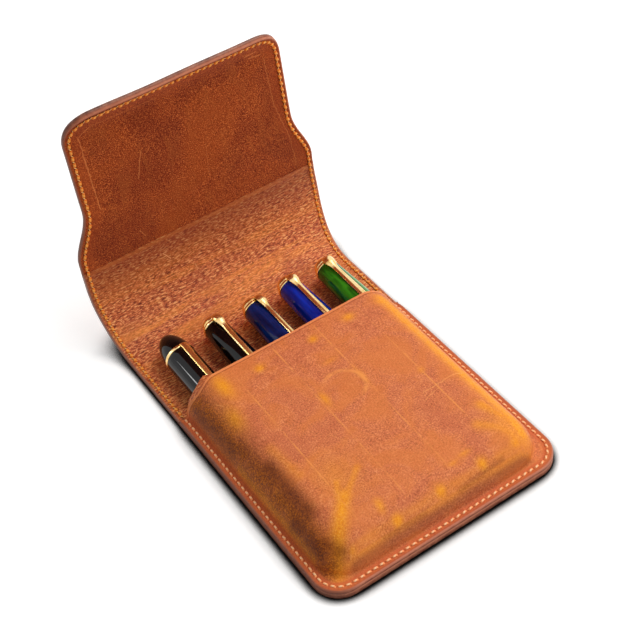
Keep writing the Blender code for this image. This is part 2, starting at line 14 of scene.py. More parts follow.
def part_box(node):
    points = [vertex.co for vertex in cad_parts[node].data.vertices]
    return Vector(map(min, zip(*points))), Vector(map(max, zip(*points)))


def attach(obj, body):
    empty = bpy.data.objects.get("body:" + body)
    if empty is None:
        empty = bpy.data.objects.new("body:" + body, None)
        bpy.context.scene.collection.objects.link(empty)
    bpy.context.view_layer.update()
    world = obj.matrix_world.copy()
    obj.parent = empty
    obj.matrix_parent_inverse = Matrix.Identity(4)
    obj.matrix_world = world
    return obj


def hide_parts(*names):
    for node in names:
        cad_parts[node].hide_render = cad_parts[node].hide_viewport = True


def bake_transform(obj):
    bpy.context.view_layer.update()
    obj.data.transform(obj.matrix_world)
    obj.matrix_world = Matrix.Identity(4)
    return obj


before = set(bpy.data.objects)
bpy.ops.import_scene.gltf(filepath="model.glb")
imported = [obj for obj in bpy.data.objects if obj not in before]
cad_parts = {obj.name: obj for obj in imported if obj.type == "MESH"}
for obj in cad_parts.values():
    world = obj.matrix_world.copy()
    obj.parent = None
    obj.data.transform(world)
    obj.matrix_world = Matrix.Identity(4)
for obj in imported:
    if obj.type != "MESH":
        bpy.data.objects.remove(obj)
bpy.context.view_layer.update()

MM = 0.001

# Leather, read from the frame or as it was cut
HALF_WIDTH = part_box("pocket_front")[1].x
BOTTOM_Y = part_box("back_outer")[0].y
MOUTH_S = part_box("pocket_front")[1].y - BOTTOM_Y
POCKET_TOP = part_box("pocket_front")[1].z
RIM_Z = 0.00525
INNER_Z = 0.00345
LAYERS_MEET = 0.00156
LAYER_SEAM = 0.00002
FRONT_THICKNESS = 0.0012
BOTTOM_CORNER = 0.013
STITCH_INSET = 0.0026
STITCH_PITCH = 0.0033
GROOVE_DEPTH = 0.00022
BACK_ROUND = 0.1 * MM
COLUMNS = 56
ROW_SPACING = 1.25 * MM

# Fold line, measured from where the leather starts to bend
BEND_S = 0.163
SLOPES = (
    (0.0, 0), (0.007, 7), (0.0265, 54), (0.0415, 76), (0.064, 90),
    (0.079, 88), (0.090, 80), (0.103, 84), (0.127, 85), (0.1425, 130),
)
FLAP_LENGTH = 0.1425
FLAP_END_S = BEND_S + FLAP_LENGTH
FLARE = 0.0035
FLARE_FROM = 0.002
FLARE_TO = 0.05
SHOULDER_FROM = 0.066
SHOULDER_TO = 0.093
LEAN = 0.0005
LEAN_FROM = 0.062
LEAN_TO = 0.127
FLAP_END_HALF_WIDTH = 0.0573
FLAP_CORNER = 0.015
FACING_S = BEND_S + 0.0605
FACING_STEP = 0.00035
RIPPLE_FROM = 0.200
RIPPLE_HEIGHT = 0.45 * MM
RIPPLE_ACROSS = 0.034
RIPPLE_ALONG = 0.026

# Where the leathers turn at the two folds, and where they are joined between them
LOWER_TURN = (0.1645, 0.1755)
FOLD_SEAM_S = 0.1785
UPPER_TURN = (0.1815, 0.1955)

# Pens
PENS = ("black", "black", "navy", "cobalt", "green")
CLIP_DEGREES = (21, 11, 24, 9, 2)
TENT_MIDDLES = (-0.032375, -0.01005, 0.01165, 0.03335)


def smooth(t):
    t = np.clip(t, 0, 1)
    return t * t * (3 - 2 * t)


def fold_path():
    """Inner face of the leather in side view, every quarter millimetre along it."""
    step = 0.00025
    along = np.arange(0, FLAP_END_S + step, step)
    slope = np.radians(np.interp(along - BEND_S, *zip(*SLOPES)))
    middle = (slope[1:] + slope[:-1]) / 2
    y = BOTTOM_Y + np.concatenate([[0], np.cumsum(np.cos(middle) * step)])
    z = INNER_Z + np.concatenate([[0], np.cumsum(np.sin(middle) * step)])
    return along, slope, y, z


PATH_S, PATH_SLOPE, PATH_Y, PATH_Z = fold_path()


def bend(places):
    """Flat places (x, s, depth) as they lie in the pouch."""
    x, s, depth = np.asarray(places, float).T
    slope = np.interp(s, PATH_S, PATH_SLOPE)
    x = x + LEAN * smooth((s - BEND_S - LEAN_FROM) / (LEAN_TO - LEAN_FROM))
    y = np.interp(s, PATH_S, PATH_Y) + depth * np.sin(slope)
    z = np.interp(s, PATH_S, PATH_Z) - depth * np.cos(slope)
    return np.stack([x, y, z], axis=1)


def on_case(places):
    """Flat places (x, s, height) on the pocket, which doesn't bend."""
    x, s, height = np.asarray(places, float).T
    return np.stack([x, BOTTOM_Y + s, height], axis=1)


def fold_point(s):
    return tuple(bend([(0, s, INNER_Z / 2)])[0])


def half_width(s):
    past = s - BEND_S
    width = HALF_WIDTH + FLARE * smooth((past - FLARE_FROM) / (FLARE_TO - FLARE_FROM))
    shoulder = smooth((past - SHOULDER_FROM) / (SHOULDER_TO - SHOULDER_FROM))
    return width + (FLAP_END_HALF_WIDTH - width) * shoulder


def edge_distance(x, s):
    """Distance from the pouch's outline, as drawn flat."""
    near = np.minimum(half_width(s) - np.abs(x), np.minimum(s, FLAP_END_S - s))
    corners = (
        (HALF_WIDTH - BOTTOM_CORNER, BOTTOM_CORNER, BOTTOM_CORNER, -1),
        (FLAP_END_HALF_WIDTH - FLAP_CORNER, FLAP_END_S - FLAP_CORNER, FLAP_CORNER, 1),
    )
    for corner_x, corner_s, radius, way in corners:
        inside = (np.abs(x) > corner_x) & ((s - corner_s) * way > 0)
        near = np.where(inside, radius - np.hypot(np.abs(x) - corner_x, s - corner_s), near)
    return near


def quarter(count):
    return [math.radians(90) * k / count for k in range(count + 1)]


def outline_rows(start, end, spacing, extra=()):
    """Rows across a piece: bottom corner's turns, places along the sides, flap end's turns."""
    turns = quarter(12)
    rows = []
    first, last = start, end
    if start == 0:
        rows += [("foot", a) for a in turns[:-1]]
        first = BOTTOM_CORNER
    if end == FLAP_END_S:
        last = FLAP_END_S - FLAP_CORNER
    places = set(np.linspace(first, last, math.ceil((last - first) / spacing) + 1))
    places.update(s for s in extra if first < s < last)
    rows += [("side", s) for s in sorted(places)]
    if end == FLAP_END_S:
        rows += [("head", a) for a in turns[1:]]
    return rows


def outline_place(row, inset, foot_radius=None):
    """Right-hand end of a row, drawn in by inset."""
    kind, value = row
    if kind == "foot":
        radius = BOTTOM_CORNER - inset if foot_radius is None else foot_radius
        side = HALF_WIDTH - inset - radius
        return side + radius * math.sin(value), inset + radius * (1 - math.cos(value))
    if kind == "head":
        radius = FLAP_CORNER - inset
        side = FLAP_END_HALF_WIDTH - FLAP_CORNER
        return side + radius * math.cos(value), FLAP_END_S - FLAP_CORNER + radius * math.sin(value)
    slant = (half_width(value + MM / 10) - half_width(value - MM / 10)) / (MM / 5)
    return half_width(value) - inset * math.sqrt(1 + slant ** 2), value


def arc_lengths():
    """Length along the stitch row, on the right half of the outline from the bottom's middle."""
    rows = outline_rows(0, FLAP_END_S, 0.5 * MM)
    line = np.array([(0.0, STITCH_INSET), *(outline_place(r, STITCH_INSET) for r in rows),
                     (0.0, FLAP_END_S - STITCH_INSET)])
    steps = np.hypot(*np.diff(line, axis=0).T)
    return line, np.concatenate([[0], np.cumsum(steps)])


STITCH_LINE, STITCH_ALONG = arc_lengths()


def new_object(name, data):
    obj = bpy.data.objects.new(name, data)
    bpy.context.scene.collection.objects.link(obj)
    return obj


def add_attribute(mesh, name, values):
    values = np.asarray(values, np.float32)
    kind, key = ("FLOAT_VECTOR", "vector") if values.ndim == 2 else ("FLOAT", "value")
    mesh.attributes.new(name, kind, "POINT").data.foreach_set(key, values.ravel())


def closed_piece(name, verts, faces, sharp=None, **attributes):
    """A piece with its faces turned outwards; edges over sharp degrees stay crisp."""
    mesh = bpy.data.meshes.new(name)
    mesh.from_pydata(verts, [], faces)
    mesh.validate()
    for key, values in attributes.items():
        add_attribute(mesh, key, values)
    work = bmesh.new()
    work.from_mesh(mesh)
    bmesh.ops.recalc_face_normals(work, faces=work.faces)
    work.to_mesh(mesh)
    work.free()
    mesh.shade_smooth()
    if sharp is not None:
        mesh.set_sharp_from_angle(angle=math.radians(sharp))
    return new_object(name, mesh)


def tube_faces(first, rings, sides):
    """Faces round a tube of rings of vertices, and its two ends."""
    faces = []
    for k in range(rings - 1):
        for n in range(sides):
            a, b = first + k * sides + n, first + k * sides + (n + 1) % sides
            faces.append((a, b, b + sides, a + sides))
    last = first + (rings - 1) * sides
    return faces + [tuple(range(first, first + sides)), tuple(range(last, last + sides))]


def skin(name, rows, columns, rings, place, lay, cut_start, cut_end):
    """A closed leather piece: grid on its shown face, rings round its edge, strips behind.

    place(ring, row, u) gives a flat place for ring 0, the grid's border, to the last ring, the
    hidden face's border. u runs from -1 at the left to 1 at the right. lay puts it in the pouch.
    """
    last = len(rows) - 1
    us = np.linspace(-1, 1, columns + 1)
    flats = []
    index = {}

    def vertex(ring, i, j):
        key = (ring, i, j)
        if key not in index:
            index[key] = len(flats)
            flats.append(place(ring, rows[i], us[j]))
        return index[key]

    faces = []
    for i in range(last):
        for j in range(columns):
            faces.append([vertex(0, i, j), vertex(0, i, j + 1), vertex(0, i + 1, j + 1),
                          vertex(0, i + 1, j)])
    border = [(0, j) for j in range(columns + 1)] + [(i, columns) for i in range(1, last)]
    border += [(last, j) for j in range(columns, -1, -1)] + [(i, 0) for i in range(last - 1, 0, -1)]
    cut_rows = [i for i, cut in ((0, cut_start), (last, cut_end)) if cut]
    for a, b in zip(border, border[1:] + border[:1]):
        if a[0] == b[0] and a[0] in cut_rows:
            continue
        for ring in range(rings):
            faces.append([vertex(ring, *b), vertex(ring, *a), vertex(ring + 1, *a),
                          vertex(ring + 1, *b)])
    for i in range(last):
        low = [(i, columns), (i, 0)]
        high = [(i + 1, 0), (i + 1, columns)]
        if i == 0 and 0 not in cut_rows:
            low = [(0, j) for j in range(columns, -1, -1)]
        if i + 1 == last and last not in cut_rows:
            high = [(last, j) for j in range(columns + 1)]
        faces.append([vertex(rings, *slot) for slot in low + high])
    for i in cut_rows:
        cap = [vertex(0, i, j) for j in range(columns + 1)]
        cap += [vertex(ring, i, columns) for ring in range(1, rings + 1)]
        cap += [vertex(ring, i, 0) for ring in range(rings, 0, -1)]
        faces.append(cap if i else cap[::-1])
    flats = np.array(flats)
    insets = edge_distance(flats[:, 0], flats[:, 1])
    return closed_piece(name, lay(flats).tolist(), faces, 60, flat=flats, inset=insets)


def edge_profile(face, back, face_round, back_round, groove):
    """Insets and depths from a layer's shown face, over its stitch groove and round its edge."""
    way = 1 if back > face else -1
    places = [(5.2 * MM, face)]
    for offset, share in ((0.9, 0), (0.5, 0.4), (0.2, 1), (-0.2, 1), (-0.5, 0.4), (-0.9, 0)):
        places.append((STITCH_INSET + offset * MM, face + way * groove * share))
    places.append((face_round + 0.4 * MM, face))
    for a in quarter(5):
        places.append((face_round * (1 - math.sin(a)), face + way * face_round * (1 - math.cos(a))))
    for a in quarter(2):
        places.append((back_round * (1 - math.cos(a)), back - way * back_round * (1 - math.sin(a))))
    return places


def ripple(x, s):
    """Slow unevenness of the standing flap, shared by its layers."""
    share = float(smooth((s - RIPPLE_FROM) / (20 * MM))) * RIPPLE_HEIGHT
    if share == 0:
        return 0.0
    return share * noise.noise(Vector((x / RIPPLE_ACROSS, s / RIPPLE_ALONG, 3.7)))


def sheet(name, start, end, profile_at, fine=()):
    """A layer of the back or flap; profile_at(s) gives its edge profile there."""
    rows = outline_rows(start, end, ROW_SPACING, fine)
    rings = len(profile_at(start)) - 1

    def place(ring, row, u):
        x, s = outline_place(row, 0)
        inset, depth = profile_at(s)[ring]
        x, s = outline_place(row, inset)
        return x * u, s, depth + ripple(x * u, s)

    cut_start, cut_end = start > 0, end < FLAP_END_S
    return skin(name, rows, COLUMNS, rings, place, bend, cut_start, cut_end)


def seam_slices(s):
    return [s + k * MM for k in (-0.8, -0.4, -0.15, -0.05, 0.05, 0.15, 0.4, 0.8)]


def build_back():
    """Outer leather of the whole pouch, in two lengths that meet between the folds."""
    def profile(s):
        flap_share = float(smooth((s - UPPER_TURN[1]) / (30 * MM)))
        return edge_profile(INNER_Z, LAYERS_MEET, (0.7 + 0.7 * flap_share) * MM, BACK_ROUND,
                            GROOVE_DEPTH)

    fine = seam_slices(FOLD_SEAM_S)
    lower = sheet("back_leather", 0, FOLD_SEAM_S, profile, fine)
    upper = sheet("flap_leather", FOLD_SEAM_S, FLAP_END_S, profile, fine)
    return lower, upper


def build_lining():
    """Lining, in two lengths, and the napped facing that goes on from it."""
    back = LAYERS_MEET - LAYER_SEAM

    def profile(s):
        open_share = float(smooth((s - MOUTH_S + 0.5 * MM) / MM))
        return edge_profile(0, back, (0.1 + 0.5 * open_share) * MM, BACK_ROUND,
                            GROOVE_DEPTH * open_share)

    def facing_profile(s):
        return edge_profile(FACING_STEP, back, 0.5 * MM, BACK_ROUND, GROOVE_DEPTH)

    fine = seam_slices(FOLD_SEAM_S)
    lower = sheet("lining_lower", 0, FOLD_SEAM_S, profile, fine + seam_slices(MOUTH_S))
    upper = sheet("lining_upper", FOLD_SEAM_S, FACING_S, profile, fine)
    facing = sheet("flap_facing_leather", FACING_S - 2 * MM, FLAP_END_S, facing_profile)
    return lower, upper, facing


FOOT_INSET = 0.0052
FOOT_ROUND = 1.3 * MM
FOOT_CORNER = 15.5 * MM
TOP_CORNER = 7 * MM
RIM_CORNER = 13.6 * MM
SHOULDER_RUN = 0.0148
CROWN_HEIGHT = 0.5 * MM
DENT_DEPTH = 0.35 * MM
DENT_ACROSS = 0.021
DENT_ALONG = 0.027
WALL_TURNS = 18
FRONT_COLUMNS = 60
FRONT_ROW_SPACING = 1.3 * MM
WALL_POWER = 2 / 1.7
WALL_SHIFT = 0.6 * MM
MOUTH_CUT = 2.6 * MM
RIM_THINNING = 0.9 * MM
RIM_ROUND = 0.6 * MM
LIP_ROUND = 0.5 * MM
LIP_CREASE = 1.8 * MM
CREASE_DEPTH = 0.24 * MM
CREASE_WIDTH = 0.3 * MM


def front_section():
    """Inset, corner radius and height, from the pocket's top edge out to the rim."""
    foot_z = RIM_Z + FOOT_ROUND
    outer = []
    for turn in quarter(WALL_TURNS)[::-1]:
        draw = 1 - math.cos(turn) ** WALL_POWER
        rise = math.sin(turn) ** WALL_POWER
        radius = FOOT_CORNER + (TOP_CORNER - FOOT_CORNER) * draw
        outer.append((FOOT_INSET + SHOULDER_RUN * draw, radius,
                      foot_z + (POCKET_TOP - foot_z) * rise))
    for a in quarter(4)[1:]:
        radius = FOOT_CORNER - 1.5 * MM * (a / math.radians(90))
        outer.append((FOOT_INSET - FOOT_ROUND * (1 - math.cos(a)), radius,
                      foot_z - FOOT_ROUND * math.sin(a)))
    for offset, share in ((0.6, 0.2), (0.2, 1), (-0.2, 1), (-0.5, 0.4), (-0.9, 0), (-1.9, 0)):
        outer.append((STITCH_INSET + offset * MM, RIM_CORNER, RIM_Z - GROOVE_DEPTH * share))
    return outer


def wall_shift(inset, s, side):
    """How far a wall is to the right of the drawn section; the right one mostly below the mouth."""
    share = float(smooth((inset - 3.5 * MM) / MM) * (1 - smooth((inset - 8 * MM) / (12 * MM))))
    if side > 0:
        share *= 1.5 * float(smooth((MOUTH_S - s) / (50 * MM))) - 0.3
    return WALL_SHIFT * share


def mouth_cut(x, s):
    """How far the mouth's edge is cut back where it runs down the left wall."""
    across = np.exp(-((HALF_WIDTH + x - 11 * MM) / (5.2 * MM)) ** 2)
    return MOUTH_CUT * across * smooth((s - MOUTH_S + 20 * MM) / (20 * MM))


def rim_thinning(from_mouth):
    return RIM_THINNING * float(smooth(1 - from_mouth / (6 * MM)))


def section_normals(section):
    """Direction out of the leather at each point of a section, as an inset and a height."""
    found = []
    for k in range(len(section)):
        before, after = section[max(k - 1, 0)], section[min(k + 1, len(section) - 1)]
        run, rise = after[0] - before[0], after[2] - before[2]
        size = math.hypot(run, rise) or 1
        found.append((rise / size, -run / size))
    return found


def offset_section(outer, thickness):
    """The section drawn in by the leather's thickness."""
    return [(inset - out_x * thickness, radius, z - out_z * thickness)
            for (inset, radius, z), (out_x, out_z) in zip(outer, section_normals(outer))]


def build_front():
    """Moulded pocket front: top, rolled shoulders, foot, stitched rim and its rounded mouth."""
    outer = front_section()
    inner = offset_section(outer, FRONT_THICKNESS - 0.1 * MM)
    edge = []
    for a in quarter(4):
        edge.append((RIM_ROUND * (1 - math.sin(a)), BOTTOM_CORNER,
                     RIM_Z - RIM_ROUND * (1 - math.cos(a))))
    base = INNER_Z + LAYER_SEAM
    for a in quarter(2):
        edge.append((BACK_ROUND * (1 - math.cos(a)), BOTTOM_CORNER,
                     base + BACK_ROUND * (1 - math.sin(a))))
    under = [p for p in inner[::-1] if p[0] > 3.6 * MM and p[2] > base]
    section = outer + edge + [(3.4 * MM, RIM_CORNER, base)] + under
    lip = [MOUTH_S - k * MM for k in (0.03, 0.1, 0.2, 0.35, 0.5, 0.8, 1.1, 1.3, 1.45, 1.6, 1.75,
                                      1.9, 2.2)]
    rows = outline_rows(0, MOUTH_S, FRONT_ROW_SPACING, lip)
    shown = len(outer)
    normals = section_normals(section)
    normals[0] = (0.0, 1.0)
    normals[-1] = (0.0, -1.0)

    def place(ring, row, u):
        inset, radius, z = section[ring]
        x, s = outline_place(row, inset, radius)
        if row[0] == "side":
            late = (MOUTH_S - s) / (MOUTH_S - BOTTOM_CORNER)
            s += (inset + radius - BOTTOM_CORNER) * late ** 2
        drawn = 0.0
        from_mouth = MOUTH_S - s
        if from_mouth < LIP_ROUND:
            reach = LIP_ROUND ** 2 - (LIP_ROUND - from_mouth) ** 2
            drawn = LIP_ROUND - math.sqrt(max(reach, 0))
        if ring < shown and inset > 4 * MM:
            drawn += CREASE_DEPTH * math.exp(-((from_mouth - LIP_CREASE) / CREASE_WIDTH) ** 2)
        out_x, out_z = normals[ring]
        x -= out_x * drawn
        z -= out_z * drawn
        if ring < shown:
            z += uneven(x * u, s, inset)
        if z > base + 0.3 * MM:
            z -= rim_thinning(from_mouth) * (1 - float(smooth((inset - 3.5 * MM) / (1.5 * MM))))
        x -= wall_shift(inset, s, u) * u
        return x * u, s - float(mouth_cut(x * u, s)), z

    return skin("pocket_front_leather", rows, FRONT_COLUMNS, len(section) - 1, place, on_case,
                False, True)


def uneven(x, s, inset):
    """Crown and slow dents of the pocket's top, nothing at its rim."""
    share = float(smooth((inset - 6 * MM) / (12 * MM)))
    if share == 0:
        return 0.0
    along = math.sin(math.pi * min(s / MOUTH_S, 1) ** 0.8)
    crown = CROWN_HEIGHT * (1 - (x / HALF_WIDTH) ** 2) * along
    dents = DENT_DEPTH * noise.noise(Vector((x / DENT_ACROSS, s / DENT_ALONG, 0.4)))
    return share * (crown + dents)


DIVIDER_THICKNESS = 0.45 * MM
DIVIDER_GAP = 0.3 * MM
DIVIDER_BEND = 1.0 * MM
DIVIDER_FROM_S = 22 * MM
DIVIDER_BEHIND_MOUTH = 1.5 * MM
TENT_HALF_BASE = 4.2 * MM
TENT_HALF_TOP = 1.0 * MM
WING_ROOM = 0.1 * MM
WING_REACH = ((0.3, 2.2, 3.4, 4.2, 4.0, 1.4), (0, 0.12, 0.26, 0.5, 0.82, 1))


def divider_wing(number, side):
    """Line of a side wing in the section: down the inside of the front's wall, clear of its pen."""
    low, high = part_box(f"pen_{number}_cap")
    axis = Vector(((low.x + high.x) / 2, (low.z + high.z) / 2))
    room = WING_ROOM + DIVIDER_THICKNESS / 2
    clear = (high.x - low.x) / 2 + room
    wall = offset_section(front_section()[:WALL_TURNS + 1], FRONT_THICKNESS + room)
    wing = []
    for inset, _, z in wall:
        place = Vector((side * (HALF_WIDTH - inset) - wall_shift(inset, MOUTH_S, side), z))
        out = place - axis
        if out.length < clear:
            place = axis + out.normalized() * clear
        wing.append(tuple(place))
    return wing


def build_divider():
    """Pleated strip between the pens; its left wing shows just past the mouth."""
    top = POCKET_TOP - FRONT_THICKNESS - DIVIDER_GAP - DIVIDER_THICKNESS / 2
    base = INNER_Z + DIVIDER_GAP + DIVIDER_THICKNESS / 2
    left, right = divider_wing(1, -1), divider_wing(5, 1)
    corners = [left[-1], (left[-1][0] + DIVIDER_GAP, base)]
    for m in TENT_MIDDLES:
        corners += [(m - TENT_HALF_BASE, base), (m - TENT_HALF_TOP, top),
                    (m + TENT_HALF_TOP, top), (m + TENT_HALF_BASE, base)]
    corners += [(right[-1][0] - DIVIDER_GAP, base), right[-1]]
    line = left + rounded(corners, DIVIDER_BEND, 5)[1:] + right[-2::-1]
    line = np.array(line)
    up = 1 - np.arange(len(left)) / (len(left) - 1)
    reach = np.interp(up, WING_REACH[1], WING_REACH[0]) * MM
    ends = np.full(len(line), MOUTH_S - DIVIDER_BEHIND_MOUTH)
    ends[:len(left)] = MOUTH_S - mouth_cut(line[:len(left), 0], MOUTH_S) + reach
    start, rows = DIVIDER_FROM_S, 6
    verts, faces = [], []
    for (x, z), end in zip(line, ends):
        verts += [(x, BOTTOM_Y + start + (end - start) * k / rows, z) for k in range(rows + 1)]
    for i in range(len(line) - 1):
        for k in range(rows):
            a = i * (rows + 1) + k
            faces.append((a, a + rows + 1, a + rows + 2, a + 1))
    mesh = bpy.data.meshes.new("pen_divider_leather")
    mesh.from_pydata(verts, [], faces)
    divider = new_object("pen_divider_leather", mesh)
    wall = divider.modifiers.new("leather", "SOLIDIFY")
    wall.thickness = DIVIDER_THICKNESS
    wall.offset = 0
    soft = divider.modifiers.new("soft edge", "BEVEL")
    soft.width = 0.15 * MM
    soft.segments = 2
    soft.limit_method = "ANGLE"
    soft.angle_limit = math.radians(60)
    apply_modifiers(divider)
    places = np.array([v.co for v in divider.data.vertices])
    add_attribute(divider.data, "flat", places)
    add_attribute(divider.data, "inset", np.full(len(places), 10 * MM))
    divider.data.shade_smooth()
    divider.data.set_sharp_from_angle(angle=math.radians(50))
    return divider


def apply_modifiers(obj):
    seen = obj.evaluated_get(bpy.context.evaluated_depsgraph_get())
    mesh = bpy.data.meshes.new_from_object(seen)
    obj.modifiers.clear()
    obj.data = mesh


def rounded(points, radius, steps):
    """A line in the section with each inner corner turned as a short arc."""
    points = [Vector(p) for p in points]
    made = [points[0]]
    for before, here, after in zip(points, points[1:], points[2:]):
        back = (before - here).normalized()
        on = (after - here).normalized()
        half = back.angle(on) / 2
        centre = here + (back + on).normalized() * (radius / math.sin(half))
        first = here + back * (radius / math.tan(half)) - centre
        last = here + on * (radius / math.tan(half)) - centre
        sweep = first.angle(last)
        for k in range(steps + 1):
            t = k / steps
            turned = math.sin((1 - t) * sweep) * first + math.sin(t * sweep) * last
            made.append(centre + turned / math.sin(sweep))
    made.append(points[-1])
    return [tuple(p) for p in made]


THREAD_SIDES = 10
THREAD_RINGS = 9
THREAD_RISE = 0.42
THREAD_DIP = 1.6
THREAD_TAPER = 0.3
THREAD_FLAT = 0.75
MOUTH_CLEAR = 1.2 * MM


def stitch_centres(phase):
    """Middle, direction and side of each stitch on the outline, right and left in turn."""
    total = STITCH_ALONG[-1]
    count = round(total / STITCH_PITCH)
    pitch = total / count
    found = []
    for k in range(count):
        along = (k + phase) * pitch
        (x, s), ahead, behind = (
            [np.interp(along + step, STITCH_ALONG, STITCH_LINE[:, c]) for c in (0, 1)]
            for step in (0, MM / 4, -MM / 4))
        way = Vector((ahead[0] - behind[0], ahead[1] - behind[1])).normalized()
        found.append((Vector((x, s)), way, 1))
        found.append((Vector((-x, s)), Vector((-way.x, way.y)), -1))
    return found, pitch


def thread(name, lay, face, out, span, half_length, slant, radius, phase=0.5):
    """Stitches of one row: short lengths of thread whose ends go down into the leather."""
    centres, pitch = stitch_centres(phase)
    flats, faces, turns = [], [], []
    for number, (centre, way, hand) in enumerate(centres):
        if not span[0] <= centre.y < span[1]:
            continue
        wobble = noise.noise(Vector((number * 0.73, 1.9, 0.2)))
        tilt = math.radians(slant + 5 * wobble) * hand
        forward = Vector((way.x * math.cos(tilt) - way.y * math.sin(tilt),
                          way.x * math.sin(tilt) + way.y * math.cos(tilt)))
        side = Vector((-forward.y, forward.x))
        length = pitch * half_length * (1 + 0.06 * wobble)
        first = len(flats)
        for k in range(THREAD_RINGS):
            v = -1 + 2 * k / (THREAD_RINGS - 1)
            reach = math.sin(v * math.radians(90)) if abs(v) < 1 else v
            middle = centre + forward * length * reach
            rise = radius * (THREAD_RISE - THREAD_DIP * abs(v) ** 5)
            girth = radius * (1 - THREAD_TAPER * v ** 4)
            for n in range(THREAD_SIDES):
                a = math.tau * n / THREAD_SIDES
                place = middle + side * girth * math.cos(a)
                flats.append((place.x, place.y,
                              face(centre.y) + out * (rise + girth * THREAD_FLAT * math.sin(a))))
                turns.append((v * length / MM, a, number))
        faces += tube_faces(first, THREAD_RINGS, THREAD_SIDES)
    return closed_piece(name, lay(flats).tolist(), faces, flat=flats, twist=turns)


def build_threads():
    def inner_face(s):
        return FACING_STEP if s > FACING_S else 0.0

    def outer_face(s):
        return INNER_Z - 0.3 * MM

    def on_rim(s):
        return RIM_Z - GROOVE_DEPTH * 0.5 - rim_thinning(MOUTH_S - s)

    found = []
    for kind, face, out, start, looks in (
            ("inner", inner_face, -1, MOUTH_S + MOUTH_CLEAR, (0.34, 14, 0.78 * MM)),
            # A thin pale thread beside each stitch stands in for the stitches' painted highlight
            ("thin_highlight", inner_face, -1, MOUTH_S + MOUTH_CLEAR, (0.36, -30, 0.26 * MM, 0.0)),
            ("outer", outer_face, 1, 0, (0.4, -10, 0.45 * MM))):
        for end, span in (("lower", (start, FOLD_SEAM_S)), ("upper", (FOLD_SEAM_S, FLAP_END_S))):
            found.append(thread(f"{kind}_thread_{end}", bend, face, out, span, *looks))
    rim = thread("rim_thread", on_case, on_rim, 1, (0, MOUTH_S - MOUTH_CLEAR), 0.38, 8, 0.52 * MM)
    return *found, rim


class Nodes:
    """A node tree being built; values are numbers or other nodes' outputs."""

    def __init__(self, tree):
        self.tree = tree

    def give(self, socket, value):
        if isinstance(value, bpy.types.NodeSocket):
            self.tree.links.new(value, socket)
        elif isinstance(value, tuple) and len(value) == 3 and socket.type == "RGBA":
            socket.default_value = (*value, 1)
        else:
            socket.default_value = value

    def node(self, kind, inputs=(), **settings):
        made = self.tree.nodes.new(kind)
        for key, value in settings.items():
            setattr(made, key, value)
        for key, value in dict(inputs).items():
            self.give(made.inputs[key], value)
        return made

    def math(self, operation, a, b=0.0, c=0.0, clamp=False):
        made = self.node("ShaderNodeMath", {0: a, 1: b, 2: c}, operation=operation, use_clamp=clamp)
        return made.outputs[0]

    def times(self, a, b, clamp=False):
        return self.math("MULTIPLY", a, b, clamp=clamp)

    def apart(self, a, b):
        return self.math("ABSOLUTE", self.math("SUBTRACT", a, b))

    def attribute(self, name, output="Fac"):
        return self.node("ShaderNodeAttribute", attribute_name=name).outputs[output]

    def vector(self, operation, inputs, output=0):
        return self.node("ShaderNodeVectorMath", inputs, operation=operation).outputs[output]

    def millimetres(self):
        return self.vector("SCALE", {0: self.attribute("flat", "Vector"), 3: 1 / MM})

    def stretch(self, vector, scale):
        return self.vector("MULTIPLY", {0: vector, 1: Vector(scale)})

    def sum(self, a, share_a, b, share_b):
        return self.math("ADD", self.times(a, share_a), self.times(b, share_b))

    def split(self, vector):
        return self.node("ShaderNodeSeparateXYZ", {0: vector}).outputs

    def noise(self, vector, scale, detail=3.0, rough=0.5, warp=0.0):
        made = self.node("ShaderNodeTexNoise", {
            "Vector": vector, "Scale": scale, "Detail": detail, "Roughness": rough,
            "Distortion": warp})
        return made.outputs["Fac"]

    def cells(self, vector, scale):
        made = self.node("ShaderNodeTexVoronoi", {"Vector": vector, "Scale": scale})
        return made.outputs["Distance"]

    def span(self, value, low, high, to_low=0.0, to_high=1.0):
        """Value read between low and high, smoothly."""
        made = self.node("ShaderNodeMapRange", {
            "Value": value, "From Min": low, "From Max": high, "To Min": to_low, "To Max": to_high},
            interpolation_type="SMOOTHSTEP")
        return made.outputs[0]

    def mix(self, share, a, b):
        made = self.node("ShaderNodeMix", data_type="RGBA")
        self.give(made.inputs[0], share)
        self.give(made.inputs[6], a)
        self.give(made.inputs[7], b)
        return made.outputs[2]

    def over(self, colour, *layers):
        """The colour with each share of a tone laid over it in turn; a tone is red, green, blue."""
        for share, *tone in layers:
            colour = self.mix(share, colour, rgb(*tone))
        return colour

    def between(self, share, a, b):
        """Plain value from a to b."""
        return self.node("ShaderNodeMix", {0: share, 2: a, 3: b}, data_type="FLOAT").outputs[0]

    def ramp(self, value, stops):
        made = self.node("ShaderNodeValToRGB", {0: value})
        band = made.color_ramp
        while len(band.elements) < len(stops):
            band.elements.new(0.5)
        for element, (place, *shade) in zip(band.elements, stops):
            element.position = place
            element.color = (*rgb(*shade), 1)
        return made.outputs[0]

    def bump(self, height, strength, distance):
        return self.node("ShaderNodeBump", {
            "Height": height, "Strength": strength, "Distance": distance}).outputs[0]


class Paint(Nodes):
    """A material with one shader."""

    def __init__(self, name, **finish):
        self.material = bpy.data.materials.new(name)
        self.material.use_nodes = True
        super().__init__(self.material.node_tree)
        self.shader = self.tree.nodes["Principled BSDF"]
        for socket, value in finish.items():
            self.shader.inputs[socket.replace("_", " ")].default_value = value

    def finish(self, colour, roughness=None, normal=None):
        for socket, value in (("Base Color", colour), ("Roughness", roughness), ("Normal", normal)):
            if value is not None:
                self.give(self.shader.inputs[socket], value)
        return self.material


def rgb(red, green, blue):
    """A colour as it looks on screen, 0 to 255, as the shader takes it."""
    linear = []
    for value in (red, green, blue):
        share = value / 255
        linear.append(share / 12.92 if share <= 0.04045 else ((share + 0.055) / 1.055) ** 2.4)
    return tuple(linear)


# Tone of the painted shade along the stitch groove
GROOVE_SHADE = (104, 42, 14)


